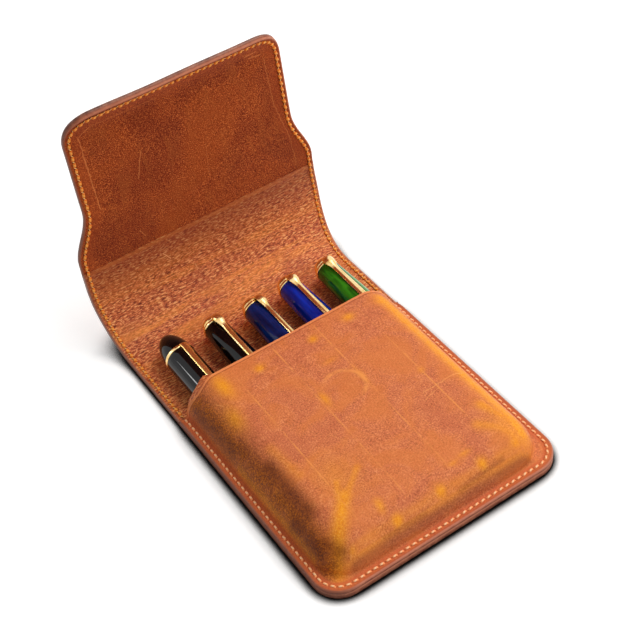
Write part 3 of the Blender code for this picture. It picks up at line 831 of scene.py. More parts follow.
def leather(name, **finish):
    """A material, the flat place in millimetres and the distance from the pouch's outline."""
    paint = Paint(name, **finish)
    return paint, paint.millimetres(), paint.attribute("inset")


def edge_layers(paint, colour, place, inset, groove, near, far):
    """Painted shade in the stitch groove, and the burnished edge, whose tone by height is partly
    the layers' own and partly painted: a highlight towards its top, shade towards its bottom and on
    the left side; near and far are a height in mm and its tone.
    """
    # Painted shade: the colour darkens along the stitch groove
    groove = paint.times(paint.span(paint.apart(inset, STITCH_INSET), 0.95 * MM, 0.35 * MM), groove)
    colour = paint.over(colour, (groove, *GROOVE_SHADE))
    along = paint.noise(place, 0.3, 4.0, 0.6)
    height = paint.split(place)[2]
    # Edge tone by height: lighter near the top as a painted highlight, darker lower down as painted
    # shade
    tone = paint.mix(paint.span(height, near[0], far[0]), rgb(*near[1:]), rgb(*far[1:]))
    # Painted shade: edges on the left side darker
    left = paint.span(paint.split(place)[0], -45.0, -57.0, 0.0, 0.5)
    tone = paint.over(tone, (paint.span(along, 0.3, 0.7, 0.0, 0.35), 214, 140, 106),
                      (left, 84, 40, 26))
    edge = paint.span(inset, 0.95 * MM, 0.35 * MM)
    roll = paint.times(paint.span(inset, 2.0 * MM, 1.1 * MM), 0.22)
    return paint.mix(edge, paint.mix(roll, colour, rgb(96, 36, 14)), tone), edge


def near_mouth(paint, colour):
    """Burnished band along the pocket's mouth, with the creased line behind it."""
    behind = paint.attribute("lip")
    band = paint.times(paint.span(behind, 1.5, 1.15), 0.6)
    off = paint.apart(behind, LIP_CREASE / MM)
    line = paint.times(paint.span(off, 0.4, 0.1), 0.45)
    return paint.over(colour, (band, 250, 152, 92), (line, 132, 56, 22))


def front_leather():
    paint, place, inset = leather("front_leather", Specular_IOR_Level=0.18)
    # Pull-up orange; along the right wall it is also a painted highlight
    pull_up_and_highlight = paint.attribute("pull_up_and_highlight")
    dark_tone_and_shade = paint.attribute("dark_tone_and_shade")
    slow = paint.noise(place, 0.05, 3.0, 0.55, 0.6)
    patch = paint.noise(place, 0.17, 4.0, 0.6, 0.8)
    fine = paint.noise(place, 1.4, 5.0, 0.7)
    fibre = paint.noise(paint.stretch(place, (1.0, 0.55, 1.0)), 0.55, 5.0, 0.7, 2.2)
    veins = paint.span(paint.apart(fibre, 0.5), 0.045, 0.0)
    mixed = paint.sum(patch, 0.18, fine, 0.82)
    body = paint.ramp(mixed, (
        (0.37, 150, 68, 38), (0.455, 200, 104, 64), (0.53, 217, 119, 74), (0.63, 244, 158, 104)))
    warm = paint.over(body, (paint.span(slow, 0.42, 0.64, 0.0, 0.6), 222, 122, 56),
                      (paint.span(slow, 0.5, 0.34, 0.0, 0.3), 190, 92, 62))
    share = paint.times(pull_up_and_highlight, paint.math("MULTIPLY_ADD", patch, 0.7, 0.75), clamp=True)
    orange = paint.ramp(fine, ((0.3, 224, 120, 14), (0.5, 244, 150, 24), (0.7, 255, 184, 62)))
    colour = paint.mix(share, warm, orange)
    colour = paint.mix(paint.times(veins, 0.22), colour, rgb(236, 160, 92))
    dark = paint.ramp(fine, ((0.36, 58, 18, 0), (0.62, 134, 58, 4)))
    # Left wall only: darker olive tone, partly the leather's own colour, partly painted shade on
    # the wall turned from the light
    olive_and_shade = paint.times(paint.attribute("wall"), paint.span(patch, 0.3, 0.55, 0.7, 1.0))
    colour = paint.mix(olive_and_shade, colour, paint.ramp(fine, (
        (0.36, 84, 34, 0), (0.48, 142, 66, 0), (0.62, 214, 118, 18))))
    # Darker brown, partly painted shade, on the left wall and along the foot
    darkened_and_shaded = paint.times(dark_tone_and_shade, paint.math("MULTIPLY_ADD", patch, 0.9, 0.4), clamp=True)
    colour = paint.mix(darkened_and_shaded, colour, dark)
    lines = pressed_lines(paint, place, patch)
    colour = paint.over(colour, (paint.times(lines, 0.75), 246, 156, 80),
                        (scratches(paint, place, FRONT_MARKS), 248, 172, 96))
    colour = near_mouth(paint, colour)
    colour = paint.over(colour, (paint.span(inset, 5.0 * MM, 4.2 * MM, 0.0, 0.6), 206, 96, 52))
    colour, edge = edge_layers(paint, colour, place, inset, 0.15, (5.2, 186, 112, 86),
                               (3.9, 130, 66, 44))
    roughness = paint.span(fine, 0.3, 0.7, 0.5, 0.66)
    roughness = paint.between(edge, roughness, 0.36)
    height = paint.sum(fine, 0.6, fibre, 0.4)
    height = paint.math("MULTIPLY_ADD", lines, 0.35, height)
    pores = paint.span(paint.cells(place, 1.5), 0.0, 0.28)
    height = paint.math("MULTIPLY_ADD", pores, 0.14, height)
    return paint.finish(colour, roughness, paint.bump(height, 0.5, 0.0005))


PRESSED_SPACING = 23.0
PRESSED_FIRST = -34.0
MARK_CENTRE = (1.5, 79.0)
MARK_RADIUS = 9.7


def pressed_lines(paint, place, patch):
    """Marks pressed through the front: lines by the divider's pleats, an arc by the magnet."""
    x, s, _ = paint.split(place)
    lean = paint.math("MULTIPLY_ADD", s, -0.018, 2.2)
    across = paint.math("ADD", paint.math("ADD", x, lean), PRESSED_SPACING / 2 - PRESSED_FIRST)
    off = paint.apart(paint.math("WRAP", across, PRESSED_SPACING, 0.0), PRESSED_SPACING / 2)
    line = paint.span(off, 0.6, 0.05)
    broken = paint.noise(paint.stretch(place, (0.04, 0.06, 0.0)), 1.0, 3.0, 0.7)
    broken = paint.span(broken, 0.42, 0.6, 0.2, 0.9)
    ends = paint.times(paint.span(s, 12.0, 22.0), paint.span(s, 121.5, 117.0))
    inside = paint.span(paint.math("ABSOLUTE", x), 41.0, 38.0)
    line = paint.times(paint.times(line, broken), paint.times(ends, inside))
    apart = paint.vector("DISTANCE", {
        0: paint.stretch(place, (1, 1, 0)), 1: Vector((*MARK_CENTRE, 0))}, "Value")
    ring = paint.span(paint.apart(apart, MARK_RADIUS), 1.7, 0.2)
    ring = paint.times(ring, paint.span(patch, 0.38, 0.56, 0.4, 1.0))
    toward = paint.math("MULTIPLY_ADD", s, 0.45, paint.times(x, 0.9))
    ring = paint.times(ring, paint.span(toward, 33.0, 41.0, 0.1, 1.0))
    return paint.math("MAXIMUM", line, ring)


SPOTS = (
    (-22.5, 112.5, 2.4, 2.2, 1.0), (6.8, 112.5, 2.2, 2.0, 1.0), (28, 114, 3.0, 2.4, 0.9),
    (46.5, 114, 2.6, 2.6, 0.9), (-44, 9, 2.5, 1.8, 0.7), (-21, 9.4, 3.0, 2.1, 1.0),
    (2, 10, 2.9, 2.1, 1.0), (24.5, 10.5, 2.8, 2.3, 1.0), (43, 11, 3.0, 2.0, 0.9),
    (-24.5, 16.5, 1.8, 3.2, 0.8), (20, 16.8, 3.0, 1.0, 0.6), (13, 15.8, 2.4, 0.9, 0.5),
    (-41.5, 113, 3.4, 8.0, 1.0), (-47.5, 95, 3.8, 8.0, 0.8), (-9.6, 78.5, 1.5, 4.5, 0.8),
    (11.4, 79, 1.1, 6.0, 0.5), (5, 96, 4.0, 1.2, 0.35), (34, 65.5, 1.4, 1.8, 0.5),
    (-30, 40, 9.0, 12.0, 0.35), (44, 20, 6.0, 9.0, 0.5),
)
# Pull-up orange strokes; the strong one along the right wall is also a painted highlight on the
# side facing the light
STROKES = (
    (-52, 9, -33, 30, 3.4, 0.9), (-40, 22, -32, 37, 1.8, 0.7), (-36, 26, -21, 38, 1.9, 0.6),
    (49, 14, 49, 116, 3.2, 1.1), (47, 11, 34, 25, 2.8, 0.6), (49, 12, 42, 33, 2.8, 0.7),
    (-50, 9.8, 47, 9.8, 1.5, 0.3), (-48, 7.4, 48, 7.4, 1.0, 0.42), (-56.8, 78, -56.8, 18, 0.9, 0.8),
    (-53, 52, -54, 38, 1.4, 0.5), (-44, 70, -42, 50, 2.4, 0.3),
)
# Darker brown strokes on the left wall and along the foot: partly the leather's own darker tone,
# partly painted shade
DARKENING_AND_SHADE = (
    (-56, 116, -55, 84, 2.4, 0.7), (-53, 84, -50.5, 62, 3.0, 0.4), (-49.5, 64, -49, 32, 3.4, 0.9),
    (-54.8, 36, -54.6, 16, 2.4, 0.95), (-52, 18, -47.5, 11, 2.2, 0.7),
    (-46, 6.0, 48, 6.0, 1.1, 0.5), (-30, 7.2, -8, 7.0, 0.7, 0.5), (10, 7.6, 34, 8.6, 0.8, 0.5),
)


def stroke_share(x, s, stroke):
    """How strongly a soft stroke colours each place."""
    x0, s0, x1, s1, width, strength = stroke
    run = np.array([x1 - x0, s1 - s0])
    share = np.clip(((x - x0) * run[0] + (s - s0) * run[1]) / (run @ run), 0, 1)
    apart = np.hypot(x - x0 - share * run[0], s - s0 - share * run[1])
    return strength * np.exp(-(apart / width) ** 2)


def paint_front(front):
    """Broad colour zones of the pocket front: pull-up orange, also a painted highlight along the
    right wall; darker brown, partly the leather's own tone and partly painted shade, on the left
    wall and along the foot; and the left wall's darker olive, partly painted shade.
    """
    flats = np.empty(len(front.data.vertices) * 3, np.float32)
    front.data.attributes["flat"].data.foreach_get("vector", flats)
    x, s, _ = flats.reshape(-1, 3).T * 1000
    pull_up_and_highlight = np.zeros(len(x))
    for spot_x, spot_s, wide, long, strength in SPOTS:
        blot = strength * np.exp(-((x - spot_x) / wide) ** 2 - ((s - spot_s) / long) ** 2)
        pull_up_and_highlight = np.maximum(pull_up_and_highlight, blot)
    for stroke in STROKES:
        pull_up_and_highlight = np.maximum(pull_up_and_highlight, stroke_share(x, s, stroke))
    dark_tone_and_shade = np.zeros(len(x))
    for stroke in DARKENING_AND_SHADE:
        dark_tone_and_shade = np.maximum(dark_tone_and_shade, stroke_share(x, s, stroke))
    lip = MOUTH_S - (s + 1000 * mouth_cut(x / 1000, s / 1000)) / 1000
    add_attribute(front.data, "lip", lip * 1000)
    add_attribute(front.data, "pull_up_and_highlight", pull_up_and_highlight)
    inset = HALF_WIDTH / MM + x
    # Left wall only, where the colour is made darker olive: partly painted shade
    wall = np.exp(-((inset - 8.4) / 5.2) ** 2) * smooth((s - 6) / 6)
    add_attribute(front.data, "wall", wall)
    add_attribute(front.data, "dark_tone_and_shade", dark_tone_and_shade)


def scratches(paint, place, marks):
    """Thin worn lines: each from x, s to x, s, with its half width and strength."""
    wander = paint.node("ShaderNodeTexNoise",
                        {"Vector": place, "Scale": 0.35, "Detail": 2.0}).outputs["Color"]
    moved = paint.vector("MULTIPLY_ADD", {0: wander, 1: Vector((1.4, 1.4, 0)), 2: place})
    flat = paint.stretch(moved, (1, 1, 0))
    found = 0.0
    for x0, s0, x1, s1, width, strength in marks:
        run = Vector((x1 - x0, s1 - s0, 0))
        start = Vector((x0 + 0.7, s0 + 0.7, 0))
        off = paint.vector("SUBTRACT", {0: flat, 1: start})
        along = paint.vector("DOT_PRODUCT", {0: off, 1: run}, "Value")
        share = paint.times(along, 1 / run.length_squared, clamp=True)
        foot = paint.vector("SCALE", {0: run, 3: share})
        apart = paint.vector("DISTANCE", {0: off, 1: foot}, "Value")
        found = paint.math("MAXIMUM", found, paint.span(apart, width, 0.0, 0.0, strength))
    return found


FRONT_MARKS = (
    (27, 54.2, 48.5, 54.6, 0.45, 0.5), (24, 50, 34, 52.5, 0.35, 0.3),
    (-49, 108, -47.5, 104, 0.35, 0.6), (-20, 60, -16, 52, 0.3, 0.3),
)
LINING_MARKS = (
    (-24.5, 214, -21.5, 210, 0.35, 0.8), (3.5, 192.5, 4.5, 189, 0.35, 0.7),
    (-10, 201, -9.6, 198, 0.3, 0.6), (-33, 184, -32.5, 181, 0.3, 0.5),
    (-45, 151.5, -12, 151, 0.4, 0.5), (-40, 158, -22, 157.6, 0.35, 0.3),
)
FACING_MARKS = (
    (-49.5, 293, -48.8, 254, 0.5, 0.55), (-49, 293.5, -43, 296.5, 0.5, 0.4),
    (-43, 296.5, -10, 296.5, 0.5, 0.2), (48, 291, 49, 265, 0.45, 0.3),
    (49, 265, 54, 245, 0.45, 0.3), (54, 245, 56, 228, 0.45, 0.25), (38, 296.5, 44, 296.8, 0.5, 0.7),
    (40, 294.5, 46.5, 293.8, 0.45, 0.6), (-22.5, 273, -27, 260, 0.35, 0.6),
    (-33, 233, -30.5, 228.5, 0.35, 0.6), (-14, 236, -13, 235.5, 0.5, 0.4),
    (10, 262, 8, 245, 0.3, 0.25),
)


def lining_leather():
    paint, place, inset = leather("lining_leather", Specular_IOR_Level=0.3)
    crease = paint.noise(paint.stretch(place, (0.42, 1.35, 0.5)), 1.0, 2.0, 0.5, 0.5)
    small = paint.noise(paint.stretch(place, (0.9, 2.3, 0.5)), 1.0, 3.0, 0.6, 0.3)
    fine = paint.noise(place, 2.1, 3.0, 0.7)
    relief = paint.sum(crease, 0.6, small, 0.3)
    relief = paint.math("MULTIPLY_ADD", fine, 0.1, relief)
    slow = paint.noise(place, 0.045, 3.0, 0.5, 0.5)
    streak = paint.noise(paint.stretch(place, (0.012, 0.1, 0.0)), 1.0, 4.0, 0.6, 0.8)
    # The crease relief also sets the colour: ridges lighter and hollows darker, a painted highlight
    # and painted shade over the grain
    body = paint.ramp(relief, (
        (0.38, 100, 34, 14), (0.46, 178, 80, 40), (0.53, 220, 118, 66), (0.62, 255, 188, 118)))
    height = paint.split(place)[1]
    # Painted light: a brighter, streaked orange zone round the fold where the lining turns up
    zone = paint.apart(height, 182.0)
    painted_light_at_fold = paint.times(paint.span(zone, 28.0, 4.0, 0.25, 1.0), paint.span(streak, 0.42, 0.66))
    lap = paint.apart(height, FACING_S / MM - 1.2)
    colour = paint.over(
        body, (paint.times(painted_light_at_fold, 0.6), 252, 154, 60),
        (paint.span(slow, 0.52, 0.34, 0.0, 0.25), 160, 66, 42),
        # Painted shade: darker towards the top of the standing flap's lining
        (paint.span(height, 198.0, 222.0, 0.0, 0.5), 112, 38, 14),
        # Painted highlight: a light line just below where the lining's edge laps onto the facing
        (paint.span(lap, 1.6, 0.4, 0.0, 0.5), 196, 104, 46),
        (scratches(paint, place, LINING_MARKS), 252, 186, 120))
    colour, edge = edge_layers(paint, colour, place, inset, 0.75, (0.1, 196, 122, 92),
                               (1.4, 150, 80, 54))
    roughness = paint.between(edge, paint.span(fine, 0.3, 0.7, 0.46, 0.62), 0.36)
    return paint.finish(colour, roughness, paint.bump(relief, 0.8, 0.0007))


def suede():
    paint, place, inset = leather(
        "suede_facing", Specular_IOR_Level=0.12, Sheen_Weight=0.08, Sheen_Roughness=0.5)
    nap = paint.noise(place, 1.8, 4.0, 0.75)
    fleck = paint.cells(place, 2.8)
    slow = paint.noise(place, 0.03, 3.0, 0.5, 0.6)
    brushed = paint.noise(paint.stretch(place, (0.16, 0.05, 0.1)), 1.0, 3.0, 0.6, 0.5)
    body = paint.ramp(paint.sum(nap, 0.75, fleck, 0.25), (
        (0.4, 64, 16, 0), (0.465, 128, 44, 14), (0.53, 166, 68, 26), (0.61, 226, 122, 58)))
    colour = paint.over(
        body, (paint.span(slow, 0.42, 0.68, 0.0, 0.36), 172, 78, 22),
        (paint.span(slow, 0.56, 0.34, 0.0, 0.36), 110, 34, 10),
        (paint.span(brushed, 0.5, 0.7, 0.0, 0.25), 178, 92, 38),
        (paint.span(inset, 11 * MM, 5 * MM, 0.0, 0.35), 176, 78, 34),
        (scratches(paint, place, FACING_MARKS), 236, 140, 76))
    colour, edge = edge_layers(paint, colour, place, inset, 0.75, (0.4, 190, 116, 88),
                               (1.4, 156, 86, 60))
    height = paint.sum(nap, 0.7, fleck, 0.3)
    return paint.finish(colour, paint.between(edge, 0.85, 0.4), paint.bump(height, 0.5, 0.0004))


def outside_leather():
    paint, place, inset = leather("outside_leather", Specular_IOR_Level=0.35)
    slow = paint.noise(place, 0.035, 3.0, 0.5, 0.3)
    patch = paint.noise(place, 0.16, 5.0, 0.62, 0.8)
    fine = paint.noise(place, 1.1, 6.0, 0.7)
    fibre = paint.noise(paint.stretch(place, (1.0, 0.55, 1.0)), 0.55, 5.0, 0.7, 2.2)
    veins = paint.span(paint.apart(fibre, 0.5), 0.045, 0.0)
    body = paint.ramp(paint.sum(patch, 0.3, fine, 0.7), (
        (0.34, 146, 66, 34), (0.45, 186, 94, 54), (0.54, 206, 112, 66), (0.66, 226, 142, 88)))
    colour = paint.over(body, (paint.span(slow, 0.46, 0.7, 0.0, 0.6), 222, 128, 44),
                        (paint.times(veins, 0.25), 230, 158, 92))
    # Its edge darkens to near black towards the floor: painted contact shadow
    colour, edge = edge_layers(paint, colour, place, inset, 0.4, (1.7, 128, 66, 44),
                               (3.0, 64, 28, 18))
    roughness = paint.between(edge, paint.span(fine, 0.3, 0.7, 0.44, 0.6), 0.36)
    height = paint.sum(fine, 0.55, fibre, 0.45)
    return paint.finish(colour, roughness, paint.bump(height, 0.45, 0.0004))


def waxed_thread(name, light, dark):
    paint = Paint(name, Specular_IOR_Level=0.3)
    twist = paint.attribute("twist", "Vector")
    along, turn, number = paint.split(twist)
    ply = paint.math("SINE", paint.math("MULTIPLY_ADD", along, 4.2, turn))
    each = paint.node("ShaderNodeTexWhiteNoise", {"W": number},
                      noise_dimensions="1D").outputs["Value"]
    colour = paint.mix(paint.span(ply, -0.7, 0.6), dark, light)
    colour = paint.mix(paint.times(each, 0.3), colour, dark)
    return paint.finish(colour, paint.span(ply, -1.0, 1.0, 0.5, 0.34),
                        paint.bump(ply, 0.5, 0.00012))


def metal(name, bright, dull, roughness):
    paint = Paint(name, Metallic=1.0)
    place = paint.node("ShaderNodeTexCoord").outputs["Object"]
    wear = paint.noise(place, 260.0, 4.0, 0.6)
    colour = paint.mix(paint.span(wear, 0.4, 0.65), bright, dull)
    rough = paint.span(wear, 0.3, 0.7, roughness, roughness * 1.3)
    return paint.finish(colour, rough)


def resin(name, deep, lit, streaks):
    """Glossy pen resin; streaks is how strongly its lengthwise swirls show."""
    paint = Paint(name, Specular_IOR_Level=0.3)
    place = paint.node("ShaderNodeTexCoord").outputs["Object"]
    swirl = paint.noise(paint.stretch(place, (1.0, 0.1, 1.0)), 330.0, 3.0, 0.5, 0.8)
    cloud = paint.noise(place, 90.0, 2.0, 0.5, 0.4)
    share = paint.times(paint.span(swirl, 0.3, 0.75), streaks)
    share = paint.math("ADD", share, paint.times(paint.span(cloud, 0.4, 0.7), streaks * 0.4))
    colour = paint.mix(share, deep, lit)
    dust = paint.noise(place, 900.0, 2.0, 0.5)
    return paint.finish(colour, paint.span(dust, 0.3, 0.8, 0.02, 0.05))


def lathe(name, profile, tip):
    """A piece turned about the pen's axis; profile is distance from the tip, then radius."""
    verts, faces = [], []
    rings = []
    for down, radius in profile:
        if radius == 0:
            rings.append([len(verts)])
            verts.append((tip.x, tip.y - down, tip.z))
            continue
        rings.append(list(range(len(verts), len(verts) + PEN_SIDES)))
        for n in range(PEN_SIDES):
            a = math.tau * n / PEN_SIDES
            verts.append((tip.x + radius * math.cos(a), tip.y - down, tip.z + radius * math.sin(a)))
    for low, high in zip(rings, rings[1:]):
        for n in range(PEN_SIDES):
            m = (n + 1) % PEN_SIDES
            ring = [low[0]] if len(low) == 1 else [low[n], low[m]]
            ring += [high[0]] if len(high) == 1 else [high[m], high[n]]
            faces.append(ring)
    return closed_piece(name, verts, faces, 38)


def softened(profile, start, end, round_start, round_end):
    """A turned profile between two end faces with rounded rims."""
    made = [(start, 0)]
    first, last = profile[0][1], profile[-1][1]
    for a in quarter(4):
        made.append((start + round_start * (1 - math.sin(a)),
                     first - round_start * (1 - math.cos(a))))
    made[1:] = made[:0:-1]
    made += profile[1:-1]
    for a in quarter(4):
        made.append((end - round_end * (1 - math.sin(a)), last - round_end * (1 - math.cos(a))))
    made.append((end, 0))
    return made


PEN_SIDES = 72
CLIP_SIDES = 20
CLIP_STATIONS = 60
CAP_TOP_RADIUS = 6.0 * MM
RING_PROUD = 0.3 * MM
RING_GAP = 0.05 * MM
BARREL_TAPER = 0.34
BARREL_END_RADIUS = 3.2 * MM
CROWN_TOP = (
    (0.35, 0), (0.3, 0.55), (0.05, 0.66), (0, 0.76), (0.15, 0.86), (0.5, 0.93), (1.0, 0.975),
    (1.7, 1), (2.6, 0.99),
)
CROWN_FOOT = ((0.8, 0.955), (0.7, 0.9), (0.4, 0.9), (0.3, 1), (0, 1), (0, 0))
CLIP_SHAPE = (
    (-1.3, -1.2, 1.7, 0.4), (-0.9, 0.1, 2.2, 0.6), (0.2, 0.9, 2.7, 0.8), (1.8, 1.25, 2.8, 0.9),
    (3.4, 1.25, 2.65, 0.9), (5.2, 1.1, 2.2, 0.85), (7.0, 0.9, 1.75, 0.75), (8.6, 0.78, 1.5, 0.6),
    (11.0, 0.7, 1.45, 0.55), (16.0, 0.64, 1.55, 0.5), (22.0, 0.6, 1.65, 0.5), (30.0, 0.6, 1.7, 0.5),
    (38.0, 0.6, 1.65, 0.5), (42.5, 0.6, 1.5, 0.5), (43.8, 0.6, 1.0, 0.35), (44.3, 0.6, 0.4, 0.2),
)
BAR_SHAPE = (
    (-0.55, -0.6, 1.85, 0.4), (-0.5, 0.5, 1.95, 0.5), (-0.1, 0.85, 2.0, 0.55),
    (1.2, 0.95, 2.0, 0.55), (10.0, 0.85, 2.0, 0.5), (22.0, 0.7, 1.9, 0.5), (36.0, 0.6, 1.7, 0.5),
    (42.5, 0.6, 1.6, 0.5), (43.8, 0.6, 1.1, 0.35), (44.3, 0.6, 0.5, 0.2),
)


def clip(name, shape, radius, ring_y, axis, degrees, ridge):
    """A clip lofted down the pen; shape's rows: distance, height, half width, thickness in mm."""
    rows = np.array(shape)
    rows[:, 1] += radius / MM
    fine = np.unique(np.concatenate([np.linspace(rows[0, 0], rows[-1, 0], CLIP_STATIONS),
                                     rows[:, 0]]))
    table = [cubic(fine, rows[:, 0], rows[:, k]) for k in (1, 2, 3)]
    turn = math.radians(degrees)
    out = Vector((math.sin(turn), 0, math.cos(turn)))
    side = Vector((math.cos(turn), 0, -math.sin(turn)))
    verts = []
    for down, height, wide, thick in zip(fine, *table):
        for n in range(CLIP_SIDES):
            a = math.tau * n / CLIP_SIDES
            x = wide * math.copysign(abs(math.cos(a)) ** 0.8, math.cos(a))
            z = thick / 2 * math.copysign(abs(math.sin(a)) ** 0.8, math.sin(a))
            if math.sin(a) > 0:
                z += ridge * wide * 1.15 * (math.sqrt(1 - 0.75 * (x / wide) ** 2) - 0.5)
            place = side * (x * MM) + out * ((height - thick / 2 + z) * MM)
            verts.append((axis.x + place.x, ring_y - down * MM, axis.z + place.z))
    return closed_piece(name, verts, tube_faces(0, len(fine), CLIP_SIDES), 50)


def cubic(at, xs, ys):
    """Smooth curve through points, without overshooting."""
    slopes = np.gradient(ys, xs)
    rise = np.diff(ys) / np.diff(xs)
    for k, step in enumerate(rise):
        low, high = sorted((0.0, 3 * step))
        slopes[k] = np.clip(slopes[k], low, high)
        slopes[k + 1] = np.clip(slopes[k + 1], low, high)
    k = np.clip(np.searchsorted(xs, at, side="right") - 1, 0, len(xs) - 2)
    width = xs[k + 1] - xs[k]
    t = (at - xs[k]) / width
    return ((2 * t ** 3 - 3 * t ** 2 + 1) * ys[k] + (t ** 3 - 2 * t ** 2 + t) * width * slopes[k]
            + (3 * t ** 2 - 2 * t ** 3) * ys[k + 1] + (t ** 3 - t ** 2) * width * slopes[k + 1])


def join(first, second):
    """One piece out of two."""
    work = bmesh.new()
    work.from_mesh(first.data)
    work.from_mesh(second.data)
    work.to_mesh(first.data)
    work.free()
    first.data.shade_smooth()
    first.data.set_sharp_from_angle(angle=math.radians(45))
    bpy.data.objects.remove(second, do_unlink=True)


def build_pen(number):
    """One pen: tip or crown, clip with its ring, cap and barrel, each for its CAD node."""
    name = f"pen_{number}"
    low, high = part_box(f"{name}_cap")
    radius = (high.x - low.x) / 2
    head = f"{name}_tip" if number == 1 else f"{name}_crown"
    tip = Vector(((low.x + high.x) / 2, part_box(head)[1].y, (low.z + high.z) / 2))
    ends = {part: tip.y - np.array([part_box(f"{name}_{part}")[k].y for k in (1, 0)])
            for part in ("cap", "barrel")}
    head_end = tip.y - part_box(head)[0].y
    pieces = {}
    if number == 1:
        profile = [(0, 0)]
        for a in quarter(20)[1:]:
            profile.append((head_end * (1 - math.cos(a)) ** 0.95,
                            (radius - 0.1 * MM) * math.sin(a) ** 0.96))
        pieces[head] = lathe(f"{head}_turned", profile + [(head_end, 0)], tip)
        top_radius = radius
        shape, ridge = BAR_SHAPE, 0.5
    else:
        disc = (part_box(head)[1].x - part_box(head)[0].x) / 2
        profile = [(down * MM, disc * share) for down, share in CROWN_TOP]
        profile += [(head_end - up * MM, disc * share) for up, share in CROWN_FOOT]
        pieces[head] = lathe(f"{head}_turned", profile, tip)
        top_radius = CAP_TOP_RADIUS
        shape, ridge = CLIP_SHAPE, 0.75
    ring_start = head_end + RING_GAP
    ring_end = ends["cap"][0] - RING_GAP
    ring_radius = top_radius + RING_PROUD
    ring = lathe(f"{name}_ring", softened([(ring_start, ring_radius), (ring_end, ring_radius)],
                                          ring_start, ring_end, 0.4 * MM, 0.4 * MM), tip)
    blade = clip(f"{name}_clip_pressed", shape, radius, tip.y - (ring_start + ring_end) / 2, tip,
                 CLIP_DEGREES[number - 1], ridge)
    join(blade, ring)
    pieces[f"{name}_clip"] = blade
    start, end = ends["cap"]
    run = [(start, top_radius)]
    for share in np.linspace(0.06, 0.94, 10):
        swell = math.sin(math.radians(90) * min(share / 0.75, 1))
        run.append((start + (end - start) * share, top_radius + (radius - top_radius) * swell))
    run.append((end, radius))
    pieces[f"{name}_cap"] = lathe(f"{name}_cap_turned",
                                  softened(run, start, end, 0.25 * MM, 0.3 * MM), tip)
    start, end = ends["barrel"]
    length = end - start
    barrel = (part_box(f"{name}_barrel")[1].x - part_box(f"{name}_barrel")[0].x) / 2
    run = [(start, barrel)]
    for share in np.linspace(0.05, 0.93, 12):
        run.append((start + length * share, barrel * (1 - BARREL_TAPER * share ** 2.4)))
    run.append((end, BARREL_END_RADIUS))
    pieces[f"{name}_barrel"] = lathe(f"{name}_barrel_turned",
                                     softened(run, start, end, 0.3 * MM, 1.4 * MM), tip)
    return pieces


LENS = 79.19
CAMERA_PLACE = (-0.20457, -0.35642, 0.47300)
VIEW_RIGHT = Vector((0.827, -0.5548, -0.0911))
VIEW_UP = Vector((0.4452, 0.5473, 0.7087))


def camera():
    """The photograph's view."""
    data = bpy.data.cameras.new("camera")
    data.lens = LENS
    data.sensor_width = 36
    data.clip_start = 0.01
    made = new_object("camera", data)
    back = VIEW_RIGHT.cross(VIEW_UP).normalized()
    up = back.cross(VIEW_RIGHT).normalized()
    turn = Matrix((VIEW_RIGHT.normalized(), up, back)).transposed()
    made.matrix_world = Matrix.Translation(CAMERA_PLACE) @ turn.to_4x4()
    bpy.context.scene.camera = made


def lamp(name, place, target, size, power, colour=(1, 1, 1)):
    data = bpy.data.lights.new(name, "AREA")
    data.shape = "RECTANGLE"
    data.size, data.size_y = size
    data.energy = power
    data.color = colour
    made = new_object(name, data)
    made.location = place
    made.rotation_euler = (Vector(target) - Vector(place)).to_track_quat("-Z", "Y").to_euler()


def seen_directly(nodes):
    """1 for rays from the camera, and for those that metal, gloss or glass send on."""
    path = nodes.node("ShaderNodeLightPath").outputs
    share = path["Is Camera Ray"]
    for kind in ("Is Glossy Ray", "Is Transmission Ray"):
        share = nodes.math("MAXIMUM", share, path[kind])
    return share


SKY_ON_THINGS = 0.33


def lights():
    """Soft key from the right, a front fill, and a narrow strip for the lines along the pens."""
    lamp("key", (0.42, 0.10, 0.80), (0, 0, 0.02), (0.45, 0.45), 4.2, (1.0, 0.98, 0.95))
    lamp("strip", (-0.57, 0.59, 0.55), (0, 0.05, 0.02), (0.035, 0.35), 0.55)
    lamp("front", (0.38, -0.62, 0.55), (0, 0.03, 0.03), (0.6, 0.45), 2.7, (1.0, 0.98, 0.95))
    world = bpy.context.scene.world or bpy.data.worlds.new("world")
    bpy.context.scene.world = world
    world.use_nodes = True
    sky = Nodes(world.node_tree)
    strength = sky.node("ShaderNodeMapRange", {
        "Value": seen_directly(sky), "To Min": SKY_ON_THINGS, "To Max": 1.0})
    back = sky.tree.nodes["Background"].inputs
    sky.give(back["Color"], (1, 1, 1))
    sky.give(back["Strength"], strength.outputs[0])


FLOOR_HALF = 3.0
FLOOR_DROP = 0.05 * MM
SHADOW_REACH = 21 * MM
SHADOW_LEAN = Vector((-0.48, 0.52, 0.71))


